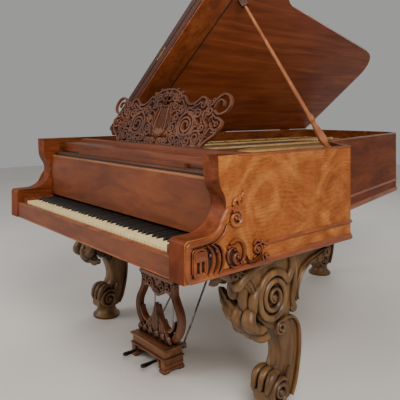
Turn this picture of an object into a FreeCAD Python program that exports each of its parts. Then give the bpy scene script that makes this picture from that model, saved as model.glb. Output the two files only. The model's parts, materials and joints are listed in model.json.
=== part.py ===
import FreeCAD, Part
import math
import os
import re

# A nineteenth-century grand piano. X runs from the bass side to the treble side, Y from the
# player to the tail, Z up from the floor. The origin is on the floor at the middle of the box.
# Heights are given from the floor, depths from the front face of the key slip.

SIZES = {
    "front": -1310,            # place of the key slip's front face along Y
    "middle": 15,              # place of the keyboard's centre line along X
    "case_half": 745,          # half the case's width
    "case_floor": 660,         # underside of the case
    "rim_top": 1074,           # top edge of the rim
    "rim_wall": 30,            # outer rim
    "inner_wall": 50,          # inner rim
    "rim_start": 240,          # where the arms meet the rim
    "corner_depth": 957,       # the sharp treble corner
    "tail_depth": 2618,        # outer face of the tail
    "arm_wall": 80,
    "arm_top": 804,
    "slip_wall": 24,
    "slip_top": 740,
    "bed_top": 705,
    "key_floor": 722,
    "key_top": 750,
    "sharp_top": 762,
    "key_front": 30,
    "key_head_back": 80,
    "key_back": 430,
    "key_pivot": 230,
    "key_pitch": 23.6,         # one natural, so the 52 naturals are 1227 mm wide
    "key_gap": 1,
    "board_floor": 945,        # underside of the soundboard
    "board_wall": 9,
    "plate_floor": 985,
    "plate_top": 1000,
    "treble_plane": 1008,      # height of the plain strings
    "bass_plane": 1013,        # height of the wound strings, which cross over
    "strike_depth": 450,       # where the hammers meet the strings
    "string_half": 598,
    "lid_wall": 25,
    "lid_floor": 1075,
    "lid_slope": 40,           # angle at which the prop holds the lid
    "lid_split": 640,          # hinge line between the lid and its front flap
    "lid_front": 146,
    "pivot_offset": 4,         # lid hinge axis outside the spine
    "pin_radius": 1.5,
    "knuckle_radius": 3.5,
    "leg_side": 650,
    "leg_wall": 100,
    "foot_depth": 540,
    "foot_height": 55,
    "rear_foot_side": -300,
    "rear_foot_depth": 2200,
    "tray_front": 264,
    "desk_lean": 21,
    "desk_wall": 14,
    "desk_pivot_depth": 426,
    "desk_pivot_height": 1056,
    "fall_front": 192,
    "fall_floor": 768,
    "fall_top": 985,
    "fall_wall": 18,
    "pedal_side": 75,
    "pedal_pivot_depth": 450,
    "pedal_pivot_height": 48,
    "moulding": 8,
    "carving": 14,
}

doc = FreeCAD.newDocument("grand_piano")
sheet = doc.addObject("Spreadsheet::Sheet", "sizes")
for row, (alias, number) in enumerate(SIZES.items(), start=1):
    sheet.set("A%d" % row, alias)
    sheet.set("B%d" % row, str(number))
    sheet.setAlias("B%d" % row, alias)
doc.recompute()

Vector = FreeCAD.Vector
UP = Vector(0, 0, 1)
ACROSS = Vector(1, 0, 0)
WORDS = re.compile(r"[a-z_]*[a-z][a-z_]*")
ON_SIDE = FreeCAD.Rotation(Vector(1, 1, 1), 120)     # sketch X, Y, Z become depth, height, across
ON_FRONT = FreeCAD.Rotation(ACROSS, 90)              # sketch X, Y, Z become across, height, forward
LEVEL = FreeCAD.Rotation()
pieces = []


def size(alias):
    return float(sheet.get(alias))


def bound(text):
    """An expression over the sheet's aliases, written with the bare words."""
    return WORDS.sub(lambda word: "sizes." + word.group(0), str(text))


def shifted(axis, text):
    """An across, depth or height expression as a place along the axis."""
    shift = {"x": "sizes.middle + ", "y": "sizes.front + ", "z": ""}[axis]
    return shift + "(%s)" % bound(text)


def keep(label, thing):
    thing.Label = label
    pieces.append(thing)
    return thing


def board(name, across, depth, height):
    """A rectangular board between the low and high expression of each direction."""
    box = doc.addObject("Part::Box", name)
    for prop, axis, (low, high) in (("Length", "x", across), ("Width", "y", depth), ("Height", "z", height)):
        box.setExpression(prop, "(%s) - (%s)" % (bound(high), bound(low)))
        box.setExpression("Placement.Base." + axis, shifted(axis, low))
    return box


def rod(name, radius, length, start, direction):
    """A round bar whose radius and length are expressions."""
    bar = doc.addObject("Part::Cylinder", name)
    bar.setExpression("Radius", bound(radius))
    bar.setExpression("Height", bound(length))
    bar.Placement = FreeCAD.Placement(start, FreeCAD.Rotation(UP, direction))
    return bar


def join(name, parts):
    fused = doc.addObject("Part::MultiFuse", name)
    fused.Shapes = parts
    return fused


def cut(name, base, tool):
    result = doc.addObject("Part::Cut", name)
    result.Base = base
    result.Tool = tool
    return result


def common(name, base, tool):
    result = doc.addObject("Part::Common", name)
    result.Base = base
    result.Tool = tool
    return result


def gather(name, parts):
    group = doc.addObject("Part::Compound", name)
    group.Links = parts
    return group


def made(name, shape):
    """A piece whose shape is built with Part's functions from the sheet's sizes."""
    feature = doc.addObject("Part::Feature", name)
    feature.Shape = shape
    return feature


def at(across, depth, height):
    """A point given from the centre line, the key slip and the floor."""
    return Vector(size("middle") + across, size("front") + depth, height)


def unit(start, end):
    step = Vector(end[0] - start[0], end[1] - start[1], 0)
    return step.normalize()


def outline(corners):
    """Lines and arcs through (x, y) or (x, y, radius) corners, closed."""
    count = len(corners)
    ends = []
    for i, corner in enumerate(corners):
        here = Vector(corner[0], corner[1], 0)
        into = unit(corners[i - 1], corner)
        away = unit(corner, corners[(i + 1) % count])
        radius = corner[2] if len(corner) > 2 else 0
        turn = into.getAngle(away)
        if radius == 0 or turn < 0.001:
            ends.append((here, here, here))
            continue
        run = radius * math.tan(turn / 2)
        inward = (away - into).normalize()
        middle = here + inward * (radius / math.cos(turn / 2) - radius)
        ends.append((here - into * run, middle, here + away * run))
    curves = []
    for i, (first, middle, last) in enumerate(ends):
        if first != last:
            curves.append(Part.Arc(first, middle, last))
        following = ends[(i + 1) % count][0]
        if (following - last).Length > 0.01:
            curves.append(Part.LineSegment(last, following))
    return curves


def padded(name, outlines, thickness, turn, place):
    """A body whose sketch holds the closed outlines, padded by a bound thickness."""
    body = doc.addObject("PartDesign::Body", name)
    sketch = body.newObject("Sketcher::SketchObject", name + "_sketch")
    plane = [o for o in body.Origin.OriginFeatures if o.Role == "XY_Plane"][0]
    sketch.AttachmentSupport = [(plane, "")]
    sketch.MapMode = "FlatFace"
    for corners in outlines:
        sketch.addGeometry(outline(corners), False)
    pad = body.newObject("PartDesign::Pad", name + "_pad")
    pad.Profile = sketch
    pad.setExpression("Length", bound(thickness))
    body.Placement = FreeCAD.Placement(Vector(), turn)
    for axis, text in zip("xyz", place):
        body.setExpression("Placement.Base." + axis, shifted(axis, text))
    return body


def slab(name, outlines, low, high):
    """A flat piece between two heights, drawn from above."""
    return padded(name, outlines, "%s - (%s)" % (high, low), LEVEL, ("0", "0", low))


def side_panel(name, outlines, inner, thickness):
    """A piece drawn from the side (depth, height), its near face at an across expression."""
    return padded(name, outlines, thickness, ON_SIDE, (inner, "0", "0"))


def front_panel(name, outlines, back, thickness):
    """A piece drawn from the front (across, height), from its back face towards the player."""
    return padded(name, outlines, thickness, ON_FRONT, ("0", back, "0"))


# ---- the plan of the case ------------------------------------------------------------------

BEND = (440, 1246, 250)          # where the bentside turns from the corner's slant
TAIL_TURN = (140, 2618, 250)     # where the bentside rounds into the tail


def case_path(inset, start):
    """The case's outline from the treble arm round the tail to the bass arm, moved inwards."""
    half = size("case_half")
    corners = [(half, start, 0), (half, size("corner_depth"), 0), BEND, TAIL_TURN,
               (-half, size("tail_depth"), 0), (-half, start, 0)]
    lines = []
    for first, second in zip(corners, corners[1:]):
        along = unit(first, second)
        inward = Vector(-along.y, along.x, 0)
        lines.append((Vector(first[0], first[1], 0) + inward * inset, along))
    path = [(lines[0][0].x, start, 0)]
    for (here, along), (there, after), corner in zip(lines, lines[1:], corners[1:]):
        cross = along.x * after.y - along.y * after.x
        gap = there - here
        reach = (gap.x * after.y - gap.y * after.x) / cross
        meet = here + along * reach
        radius = 0
        if corner[2]:
            radius = corner[2] - inset if cross > 0 else corner[2] + inset
        path.append((meet.x, meet.y, radius))
    path.append((lines[-1][0].x, start, 0))
    return path


def ring(outer, inner, start):
    """The band of the case between two insets, open towards the player."""
    return case_path(outer, start) + list(reversed(case_path(inner, start)))


wall = size("rim_wall")
both_walls = wall + size("inner_wall")
rim_start = size("rim_start")
inside = size("case_half") - size("arm_wall")
IN = "case_half - arm_wall"
OUT_LOW = "arm_wall - case_half"

keep("outer_rim", slab("outer_rim", [ring(0, wall, rim_start)], "case_floor", "rim_top"))
keep("inner_rim", slab("inner_rim", [ring(wall, both_walls, rim_start)], "case_floor", "board_floor"))

PROUD = size("moulding")
BAND_START = 400                 # behind the carved panels of the arms
base_band = slab("base_band", [ring(-PROUD, 0, BAND_START)], "case_floor", "case_floor + 28")
bead_band = slab("bead_band", [ring(-PROUD, 0, BAND_START)], "case_floor + 72", "case_floor + 86")
keep("case_mouldings", gather("case_mouldings", [base_band, bead_band]))

# ---- arms, slip, keybed --------------------------------------------------------------------

ARM_FLOOR, ARM_TOP, RIM_TOP = size("case_floor"), size("arm_top"), size("rim_top")
ARM_FRONT = -6
ARM_PROFILE = [(146, RIM_TOP), (150, 975, 110), (193, 912, 76), (162, 833, 96), (98, ARM_TOP + 1, 96),
               (ARM_FRONT, ARM_TOP, 16), (ARM_FRONT, ARM_FLOOR), (rim_start, ARM_FLOOR), (rim_start, RIM_TOP)]
keep("arm_bass", side_panel("arm_bass", [ARM_PROFILE], "0 - case_half", "arm_wall"))
keep("arm_treble", side_panel("arm_treble", [ARM_PROFILE], IN, "arm_wall"))

CARVED_PANEL = [(2, 668, 10), (2, 795, 12), (92, 795, 20), (140, 800, 20), (190, 770, 30), (300, 758, 30),
                (398, 735, 15), (398, 668, 10)]
carved = [side_panel("carved_" + word, [CARVED_PANEL], place, "carving")
          for word, place in (("bass", "0 - case_half - carving"), ("treble", "case_half"))]
keep("arm_carvings", gather("arm_carvings", carved))

keep("key_slip", board("key_slip", (OUT_LOW, IN), ("0", "slip_wall"), ("case_floor", "slip_top")))
keep("keybed", board("keybed", (OUT_LOW, IN), ("slip_wall", "480"), ("case_floor", "bed_top")))

KEYS_HALF = 26 * size("key_pitch")
block_inner = KEYS_HALF + 2
key_blocks = [board("key_block_bass", (OUT_LOW, -block_inner), ("slip_wall", "180"), ("bed_top", "766")),
              board("key_block_treble", (block_inner, IN), ("slip_wall", "180"), ("bed_top", "766"))]
keep("key_blocks", gather("key_blocks", key_blocks))

# ---- braces, soundboard, plate -------------------------------------------------------------

interior = slab("interior", [case_path(both_walls + 0.2, 482)], "case_floor", "board_floor")
BEAM_TOP = "case_floor + 100"
beams = [board("belly_rail", (-700, 700), ("485", "525"), ("case_floor", "board_floor - 0.2")),
         board("cross_beam", (-700, 700), ("850", "910"), ("case_floor + 2", BEAM_TOP)),
         board("leg_block", (-420, -180), ("2060", "2340"), ("case_floor", BEAM_TOP))]
for i, across in enumerate((-450, -100, 190)):
    beams.append(board("beam_%d" % i, (across - 30, across + 30), ("520", "2600"), ("case_floor + 20", BEAM_TOP)))
keep("case_braces", common("case_braces", join("beams", beams), interior))

keep("soundboard", slab("soundboard", [case_path(wall + 0.1, 486)], "board_floor", "board_floor + board_wall"))

RIB_RISE = 25
ribs = []
for i in range(12):
    depth = 640 + 155 * i
    ribs.append(board("rib_%d" % i, (-700, 700), (depth, depth + 22), ("board_floor - %d" % RIB_RISE,
                                                                       "board_floor - 0.1")))
keep("soundboard_ribs", common("soundboard_ribs", gather("rib_set", ribs), interior))

keep("pin_block", board("pin_block", (OUT_LOW, IN), ("tray_front", "425"), ("board_floor", "plate_floor")))

# ---- the string plan -----------------------------------------------------------------------

NOTES = 88
DAMPER_RUN = 24                  # from the strike line to a damper's front face
BASS_NOTES = 20
string_step = 2 * size("string_half") / (NOTES - 1)
strike = size("strike_depth")


class Course:
    """One note's string: where it is struck, which way it runs and how long it speaks."""

    def __init__(self, note):
        self.note = note
        self.bass = note <= BASS_NOTES
        self.across = -size("string_half") + (note - 1) * string_step
        if self.bass:
            self.lean = 0.22
            self.speaking = 1850 - 21 * (note - 1)
            self.tail = 110
            self.radius = 2.2 - 0.045 * note
        else:
            self.lean = -0.10 * (NOTES - note) / (NOTES - BASS_NOTES - 1)
            self.speaking = min(1700, 52 * 1.87 ** ((NOTES - note) / 12.0))
            self.tail = 50 + 0.06 * self.speaking
            self.radius = 0.6
        self.height = size("bass_plane") if self.bass else size("treble_plane")
        self.pin_depth = 285 + 38 * (note % 3)

    def place(self, run):
        """The plan point a distance behind the strike line, or before it if negative."""
        return self.across + self.lean * run, strike + run

    def bridge(self):
        return self.place(self.speaking)

    def hitch(self):
        return self.place(self.speaking + self.tail)


courses = [Course(note) for note in range(1, NOTES + 1)]
TREBLE_MARKS = (88, 76, 64, 52, 40, 30, 21)
BASS_MARKS = (1, 20)


def note(i):
    return courses[i - 1]


plate_edge = both_walls + 2
hitch_edge = [note(i).place(note(i).speaking + note(i).tail * 0.55) for i in TREBLE_MARKS]
speaking_window = [(-inside + 42, 458), (612, 458), (612, 528)] + hitch_edge[1:] + [(-620, 2250)]
bass_line = [note(i).bridge() for i in BASS_MARKS]
along_bridge = unit(bass_line[1], bass_line[0])
WINDOW_SIDE = 40
WINDOW_END = 26
bass_window = []
for (x, y), end in zip(bass_line, (WINDOW_END, -WINDOW_END)):
    for side in (WINDOW_SIDE, -WINDOW_SIDE):
        reach = side if end > 0 else -side
        bass_window.append((x + along_bridge.x * end - along_bridge.y * reach,
                            y + along_bridge.y * end + along_bridge.x * reach))
plate_web = slab("plate_web", [case_path(plate_edge, size("tray_front")), speaking_window, bass_window],
                 "plate_floor", "plate_top")
STRUT_LOW = "bass_plane + 4"
STRUT_HIGH = "bass_plane + 14"
plate_parts = [plate_web]
STRUT_FRONT = 444
STRUT_HALF = 2.5
STRUTS = {21: 2400, 40: 2190, 60: 1250, 76: 1010}      # the note on each strut's left, and its back end


def between(gap, run):
    """The place across midway between a note and the next, a distance behind the strike line."""
    return (note(gap).place(run)[0] + note(gap + 1).place(run)[0]) / 2


for gap, back in STRUTS.items():
    across = between(gap, DAMPER_RUN)
    plate_parts.append(board("strut_%d" % gap, (across - STRUT_HALF, across + STRUT_HALF), (STRUT_FRONT, back),
                             (STRUT_LOW, STRUT_HIGH)))
    foot = between(gap, 0)
    plate_parts.append(board("strut_foot_%d" % gap, (foot - 2, foot + 2), (STRUT_FRONT, STRUT_FRONT + 12),
                             ("plate_top - 1", STRUT_HIGH)))
    plate_parts.append(board("strut_end_%d" % gap, (across - STRUT_HALF, across + STRUT_HALF), (back - 14, back),
                             ("plate_top - 1", STRUT_HIGH)))
keep("iron_plate", join("iron_plate", plate_parts))


def ribbon(points, half_width, low, high):
    """A curved bar that follows the points, of even width, between two heights."""
    left = []
    right = []
    for i, (x, y) in enumerate(points):
        before = points[max(i - 1, 0)]
        after = points[min(i + 1, len(points) - 1)]
        along = unit(before, after)
        left.append(at(x - along.y * half_width, y + along.x * half_width, low))
        right.append(at(x + along.y * half_width, y - along.x * half_width, low))
    edges = []
    for side in (left, list(reversed(right))):
        curve = Part.BSplineCurve()
        curve.interpolate(side)
        edges.append(curve.toShape())
    ends = [Part.makeLine(left[-1], right[-1]), Part.makeLine(right[0], left[0])]
    face = Part.Face(Part.Wire([edges[0], ends[0], edges[1], ends[1]]))
    return face.extrude(UP * (high - low))


bridge_floor = size("board_floor") + size("board_wall")
treble_bridge = ribbon([note(i).bridge() for i in TREBLE_MARKS], 13, bridge_floor, size("treble_plane") - 1)
bass_bridge = ribbon(bass_line, 15, bridge_floor, size("bass_plane") - 3)
keep("bridges", made("bridges", Part.makeCompound([treble_bridge, bass_bridge])))

PIN_RADIUS = 3.4


def string_solid(course):
    start = course.place(course.pin_depth + PIN_RADIUS + 1 - strike)
    end = course.hitch()
    first = at(start[0], start[1], course.height)
    run = at(end[0], end[1], course.height) - first
    return Part.makeCylinder(course.radius, run.Length, first, run)


def tuning_pin(course):
    x, y = course.place(course.pin_depth - strike)
    return Part.makeCylinder(PIN_RADIUS, 28, at(x, y, size("plate_top")), UP)


keep("strings", made("strings", Part.makeCompound([string_solid(course) for course in courses])))
keep("tuning_pins", made("tuning_pins", Part.makeCompound([tuning_pin(course) for course in courses])))

# ---- the action ----------------------------------------------------------------------------

rails = [board("front_key_rail", (-610, 610), ("50", "90"), ("bed_top", "bed_top + 4")),
         board("balance_rail", (-610, 610), ("key_pivot - 6", "key_pivot + 6"), ("bed_top", "key_floor - 0.5")),
         board("back_key_rail", (-610, 610), ("385", "415"), ("bed_top", "key_floor - 0.3"))]
for i in range(5):
    across = -600 + 300 * i
    rails.append(board("slat_%d" % i, (across - 10, across + 10), ("50", "415"), ("bed_top", "bed_top + 4")))
keep("key_frame", join("key_frame", rails))

action = [board("hammer_rail", (-640, 640), ("312", "345"), ("840", "862")),
          board("whippen_rail", (-640, 640), ("370", "400"), ("790", "806"))]
for i, across in enumerate((-640, 622)):
    action.append(board("action_bracket_%d" % i, (across, across + 18), ("300", "410"), ("bed_top", "868")))
keep("action_frame", join("action_frame", action))

HAMMER_CROWN = 963


def hammer(course):
    """A shank running back from the rail and a head below the strike point."""
    shank = Part.makeCylinder(3, 100, at(course.across, 346, 872), Vector(0, 1, 0))
    post = Part.makeBox(9, 12, 42, at(course.across - 4.5, strike - 6, 862))
    felt = [(strike - 15, 900, 3), (strike + 15, 900, 3), (strike + 14, 930, 12), (strike, HAMMER_CROWN, 6),
            (strike - 14, 930, 12)]
    edges = [curve.toShape() for curve in outline(felt)]
    face = Part.Face(Part.Wire(edges))
    face.Placement = FreeCAD.Placement(at(course.across - 5, 0, 0), ON_SIDE)
    return shank.fuse([post, face.extrude(ACROSS * 10)])


keep("hammers", made("hammers", Part.makeCompound([hammer(course) for course in courses])))

DAMPED_NOTES = 66


def damper(course):
    """A damper head over its string; the lowest plain notes' heads clear the wound string beside them."""
    x, y = course.place(DAMPER_RUN)
    crossed = BASS_NOTES < course.note <= BASS_NOTES + 4
    string_plane = size("bass_plane") if crossed else course.height
    return Part.makeBox(6, 34, 16, at(x - 3, y, string_plane + 3.5))


keep("dampers", made("dampers", Part.makeCompound([damper(course) for course in courses[:DAMPED_NOTES]])))

# ---- the keys ------------------------------------------------------------------------------

OCTAVE = 12
SHARP_STEPS = (1, 3, 6, 8, 10)
FIRST_STEP = 9                   # the lowest note is an A


def key_plan(index):
    """A key's head (None for a sharp) and tail, each as its low and high place across."""
    step = (index + FIRST_STEP) % OCTAVE
    octave = (index + FIRST_STEP) // OCTAVE
    pitch = size("key_pitch")
    left = -KEYS_HALF + (octave * 7 - 5) * pitch
    if step < 5:
        slot = 3 * pitch / 5
        tail = left + step * slot
    else:
        slot = 4 * pitch / 7
        tail = left + 3 * pitch + (step - 5) * slot
    head = None
    if step not in SHARP_STEPS:
        white = [s for s in range(OCTAVE) if s not in SHARP_STEPS].index(step)
        head = (left + white * pitch, left + (white + 1) * pitch)
    return head, (tail, tail + slot)


def key_solid(index):
    head, tail = key_plan(index)
    half_gap = size("key_gap") / 2
    floor = size("key_floor")
    low = tail[0] + half_gap
    width = tail[1] - tail[0] - 2 * half_gap
    if index == NOTES - 1:
        low, width = head[0] + half_gap, size("key_pitch") - 2 * half_gap
    start = size("key_head_back") + (0 if head else 2)
    lever = Part.makeBox(width, size("key_back") - start, size("key_top") - 2 - floor, at(low, start, floor))
    if head:
        front = size("key_front")
        cap = Part.makeBox(size("key_pitch") - 2 * half_gap, size("key_head_back") - front,
                           size("key_top") - floor, at(head[0] + half_gap, front, floor))
        ivory = Part.makeBox(width, 182 - size("key_head_back"), 2, at(low, size("key_head_back"),
                                                                       size("key_top") - 2))
        return lever.fuse([cap, ivory]).removeSplitter()
    raised = size("sharp_top") - size("key_top") + 2
    ebony = Part.makeBox(width - 2, 94, raised, at(low + 1, 86, size("key_top") - 2))
    return lever.fuse([ebony]).removeSplitter()


def is_sharp(index):
    return key_plan(index)[0] is None


MIDDLE = range(39, 51)           # the octave from middle C, each key in its own node
NOTE_WORDS = ("c", "c_sharp", "d", "d_sharp", "e", "f", "f_sharp", "g", "g_sharp", "a", "a_sharp", "b")
for word, index in zip(NOTE_WORDS, MIDDLE):
    keep("key_" + word, made("key_" + word, key_solid(index)))
KEY_SETS = {"bass": range(0, MIDDLE[0]), "treble": range(MIDDLE[-1] + 1, NOTES)}
for word, span in KEY_SETS.items():
    for kind, wanted in (("naturals", False), ("sharps", True)):
        solids = [key_solid(index) for index in span if is_sharp(index) == wanted]
        name = "%s_%s" % (word, kind)
        keep(name, made(name, Part.makeCompound(solids)))

# ---- fallboard, name rail, desk ------------------------------------------------------------

PANEL = "case_half - arm_wall - 3"
PANEL_LOW = "arm_wall - case_half + 3"
fall_parts = [board("fall_panel", (PANEL_LOW, PANEL), ("fall_front", "fall_front + fall_wall"),
                    ("fall_floor", "fall_top")),
              rod("fall_pins", "3", "2 * case_half - 2 * arm_wall - 2",
                  at(-inside + 1, size("fall_front") + 6, size("fall_floor") + 6), ACROSS)]
keep("fallboard", join("fallboard", fall_parts))
BEHIND_FALL = "fall_front + fall_wall + 4"
rail_parts = [board("name_board", (PANEL_LOW, PANEL), (BEHIND_FALL, "rim_start - 4"), ("774", "fall_top + 1")),
              board("name_shelf", (PANEL_LOW, PANEL), (BEHIND_FALL, "tray_front - 1"), ("fall_top", "plate_top - 1"))]
keep("name_rail", join("name_rail", rail_parts))

RUNNER_TOP = "plate_top + 37.6"
runners = [board("runner_%s" % word, (low, high), ("tray_front + 18", "600"), ("plate_top", RUNNER_TOP))
           for word, low, high in (("bass", -662, -640), ("treble", 640, 662))]
keep("desk_runners", gather("desk_runners", runners))

TRAY_FLOOR = "plate_top + 38"
TRAY_TOP = TRAY_FLOOR + " + 12"
tray = [board("tray_board", (-661, 661), ("tray_front", "420"), (TRAY_FLOOR, TRAY_TOP)),
        board("tray_back", (-520, 520), ("419", "545"), (TRAY_FLOOR, TRAY_TOP)),
        board("tray_rail", (-661, 661), ("378", "410"), (TRAY_FLOOR, TRAY_FLOOR + " + 30")),
        board("tray_lip", (-661, 661), ("tray_front", "tray_front + 15"), ("plate_top + 7", TRAY_TOP)),
        board("tray_step", (-442, 442), ("tray_front - 18", "tray_front + 1"), ("plate_top", "plate_top + 18"))]
keep("desk_tray", join("desk_tray", tray))

DESK_HALF = [(0, 4), (430, 4, 6), (440, 40, 20), (415, 120, 60), (472, 205, 20), (440, 248, 20), (330, 232, 60),
             (250, 262, 50), (120, 270, 40), (60, 300, 30), (0, 306)]
desk_outline = DESK_HALF[1:-1] + [(-c[0],) + c[1:] for c in reversed(DESK_HALF[1:-1])]
desk = padded("music_desk", [desk_outline], "desk_wall", LEVEL, ("0", "desk_pivot_depth", "desk_pivot_height"))
desk.Placement.Rotation = FreeCAD.Rotation(ACROSS, 90 - size("desk_lean"))
keep("music_desk", desk)

# ---- legs and lyre -------------------------------------------------------------------------

LEG_PROFILE = [(-290, 660), (340, 660), (345, 605, 20), (265, 592, 25), (120, 520, 60), (70, 430, 15), (62, 396, 8),
               (112, 335, 50), (118, 270, 60), (92, 130, 50), (66, 52), (-62, 52), (-80, 112, 40), (-25, 158, 20),
               (14, 225, 60), (-20, 330, 50), (-110, 400, 50), (-160, 500, 60), (-230, 590, 25), (-290, 600, 15)]


def leg(name, across, depth, reach_in):
    """A scrolled leg drawn from the side, with its round foot and the bracket along the case."""
    half = size("leg_wall") / 2
    profile = [(corner[0] + depth,) + corner[1:] for corner in LEG_PROFILE]
    shaft = side_panel(name + "_shaft", [profile], across - half, "leg_wall")
    foot = doc.addObject("Part::Cone", name + "_foot")
    foot.Radius1 = 80
    foot.Radius2 = 60
    foot.setExpression("Height", "sizes.foot_height")
    foot.Placement.Base = at(across, depth, 0)
    inner = [across - half - 150, across - half + 5] if reach_in < 0 else [across + half - 5, across + half + 150]
    bracket = board(name + "_bracket", inner, (depth - 70, depth - 10), ("case_floor - 75", "case_floor"))
    return join(name, [shaft, foot, bracket])


leg_side = size("leg_side")
keep("leg_front_bass", leg("leg_front_bass", -leg_side, size("foot_depth"), 1))
keep("leg_front_treble", leg("leg_front_treble", leg_side, size("foot_depth"), -1))
keep("leg_rear", leg("leg_rear", size("rear_foot_side"), size("rear_foot_depth"), 1))

LYRE_HALF = [(120, 118), (156, 150, 30), (192, 240, 70), (132, 330, 40), (132, 415, 12), (100, 425, 6),
             (100, 632), (150, 640, 6), (150, 660)]
lyre_outline = LYRE_HALF + [(-c[0],) + c[1:] for c in reversed(LYRE_HALF)]
LYRE_WINDOW = [(-40, 215, 20), (0, 290, 20), (40, 215, 20), (84, 170, 30), (148, 240, 60), (95, 345, 20),
               (-95, 345, 20), (-148, 240, 60), (-84, 170, 30)]
UPPER_WINDOW = [(-60, 440, 10), (60, 440, 10), (60, 615, 10), (-60, 615, 10)]
keep("lyre_frame", front_panel("lyre_frame", [lyre_outline, LYRE_WINDOW, UPPER_WINDOW], "468", "38"))

pedal_side = size("pedal_side")
ROD_DEPTH = 480
box_parts = [board("box_top", (-142, 142), ("374", "500"), ("62", "118")),
             board("box_foot_bass", (-142, -110), ("374", "500"), ("4", "62")),
             board("box_foot_treble", (110, 142), ("374", "500"), ("4", "62")),
             rod("pedal_shaft", "4", "236", at(-118, size("pedal_pivot_depth"), size("pedal_pivot_height")), ACROSS)]
rod_holes = [rod("rod_hole_%d" % i, "7", "80", at(side, ROD_DEPTH, 50), UP)
             for i, side in enumerate((-pedal_side, pedal_side))]
keep("pedal_box", cut("pedal_box", join("box_boards", box_parts), join("rod_holes", rod_holes)))

PEDAL_PROFILE = [(290, 38, 5), (290, 50, 5), (330, 52, 40), (400, 54), (492, 54, 4), (492, 42, 4), (400, 42),
                 (330, 40, 40)]
ROD_FLOOR = 54.5
for word, side in (("soft", -pedal_side), ("sustain", pedal_side)):
    lever = side_panel("lever_" + word, [PEDAL_PROFILE], side - 11, "22")
    bore = rod("pedal_bore_" + word, "4.05", "30",
               at(side - 15, size("pedal_pivot_depth"), size("pedal_pivot_height")), ACROSS)
    keep("pedal_" + word, cut("pedal_" + word, lever, bore))
    keep("rod_" + word, rod("rod_" + word, "4", 654 - ROD_FLOOR, at(side, ROD_DEPTH, ROD_FLOOR), UP))

stays = []
for side in (-1, 1):
    foot = at(118 * side, 508, 96)
    head = at(70 * side, 870, 658.5)
    stays.append(Part.makeCylinder(5, (head - foot).Length, foot, head - foot).fuse(
        [Part.makeBox(20, 20, 24, at(118 * side - 10, 500.2, 84))]))
keep("lyre_braces", made("lyre_braces", Part.makeCompound(stays)))

# ---- the lid, drawn closed and then turned about its hinge ----------------------------------

hinge_line = at(-size("case_half") - size("pivot_offset"), 0, size("lid_floor"))
hinge_turn = FreeCAD.Rotation(Vector(0, 1, 0), -size("lid_slope"))
lid_lift = FreeCAD.Placement(Vector(), hinge_turn, hinge_line)


def raised_shape(shape):
    """A shape in the closed lid, turned up with it."""
    copy = shape.copy()
    copy.Placement = lid_lift.multiply(copy.Placement)
    return copy


def flat_slab(corners, low, high):
    face = Part.Face(Part.Wire([curve.toShape() for curve in outline(corners)]))
    face.translate(at(0, 0, low))
    return face.extrude(UP * (high - low))


lid_floor = size("lid_floor")
lid_top = lid_floor + size("lid_wall")
LID_PLAN = case_path(-4, size("lid_split"))
LID_PLAN[-1] = (-size("case_half"), size("lid_split"), 0)
LID_PLAN[-2] = (-size("case_half"), LID_PLAN[-2][1], 0)
keep("lid_panel", made("lid_panel", raised_shape(flat_slab(LID_PLAN, lid_floor, lid_top))))

CLEAT_DROP = 8
cleat = Part.makeBox(1400, 172, CLEAT_DROP, at(-700, size("lid_split") + 6, lid_floor - CLEAT_DROP))
keep("lid_cleat", made("lid_cleat", raised_shape(cleat)))

SOCKET_REACH = 1161              # from the hinge axis to the prop's seat
SOCKET_DEPTH = 885
SOCKET_DROP = 10
socket_x = SOCKET_REACH - size("case_half") - size("pivot_offset")
FIRST_HINGE = 760
HINGE_SPACING = 760
HINGE_LENGTH = 120
KNUCKLE = 40
radius = size("knuckle_radius")
pin = size("pin_radius")
spine = -size("case_half")


def knuckle(start, length, bore):
    tube = Part.makeCylinder(radius, length, Vector(hinge_line.x, size("front") + start, hinge_line.z),
                             Vector(0, 1, 0))
    if bore:
        hole = Part.makeCylinder(bore, length, Vector(hinge_line.x, size("front") + start, hinge_line.z),
                                 Vector(0, 1, 0))
        tube = tube.cut(hole)
    return tube


lid_metal = []
rim_metal = []
for i in range(3):
    start = FIRST_HINGE + i * HINGE_SPACING
    lid_leaf = Part.makeBox(2, HINGE_LENGTH, 18, at(spine - 2, start, lid_floor + 4))
    link = Part.makeBox(2.5, KNUCKLE - 1, 5, at(spine - 4, start + KNUCKLE + 0.5, lid_floor + 2))
    barrel = knuckle(start + KNUCKLE + 0.5, KNUCKLE - 1, pin + 0.1)
    lid_metal.append(lid_leaf.fuse([link, barrel]))
    rim_leaf = Part.makeBox(2, HINGE_LENGTH, 24, at(spine - 2, start, lid_floor - 28))
    hinge = [knuckle(start, KNUCKLE, 0), knuckle(start + 2 * KNUCKLE, KNUCKLE, 0),
             Part.makeCylinder(pin, HINGE_LENGTH, Vector(hinge_line.x, size("front") + start, hinge_line.z),
                               Vector(0, 1, 0))]
    for end in (start, start + 2 * KNUCKLE):
        hinge.append(Part.makeBox(2.5, KNUCKLE, 6, at(spine - 4, end, lid_floor - 7)))
    rim_metal.append(rim_leaf.fuse(hinge))
raised_metal = [raised_shape(shape) for shape in lid_metal]
keep("lid_hinges", made("lid_hinges", Part.makeCompound(rim_metal)))

# The front flap lies folded back on the lid. Its hinge barrel stands on the lid's top face.
split = size("lid_split")
flap_axis = lid_top + 4
flap_low = 2 * flap_axis - lid_top
flap_reach = split - size("lid_front")
half = size("case_half")
flap_plan = [(-half, split + 1), (half, split + 1), (half, split + flap_reach), (-half, split + flap_reach)]
flap_board = flat_slab(flap_plan, flap_low, flap_low + size("lid_wall"))
keep("lid_flap", made("lid_flap", raised_shape(flap_board)))

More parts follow.
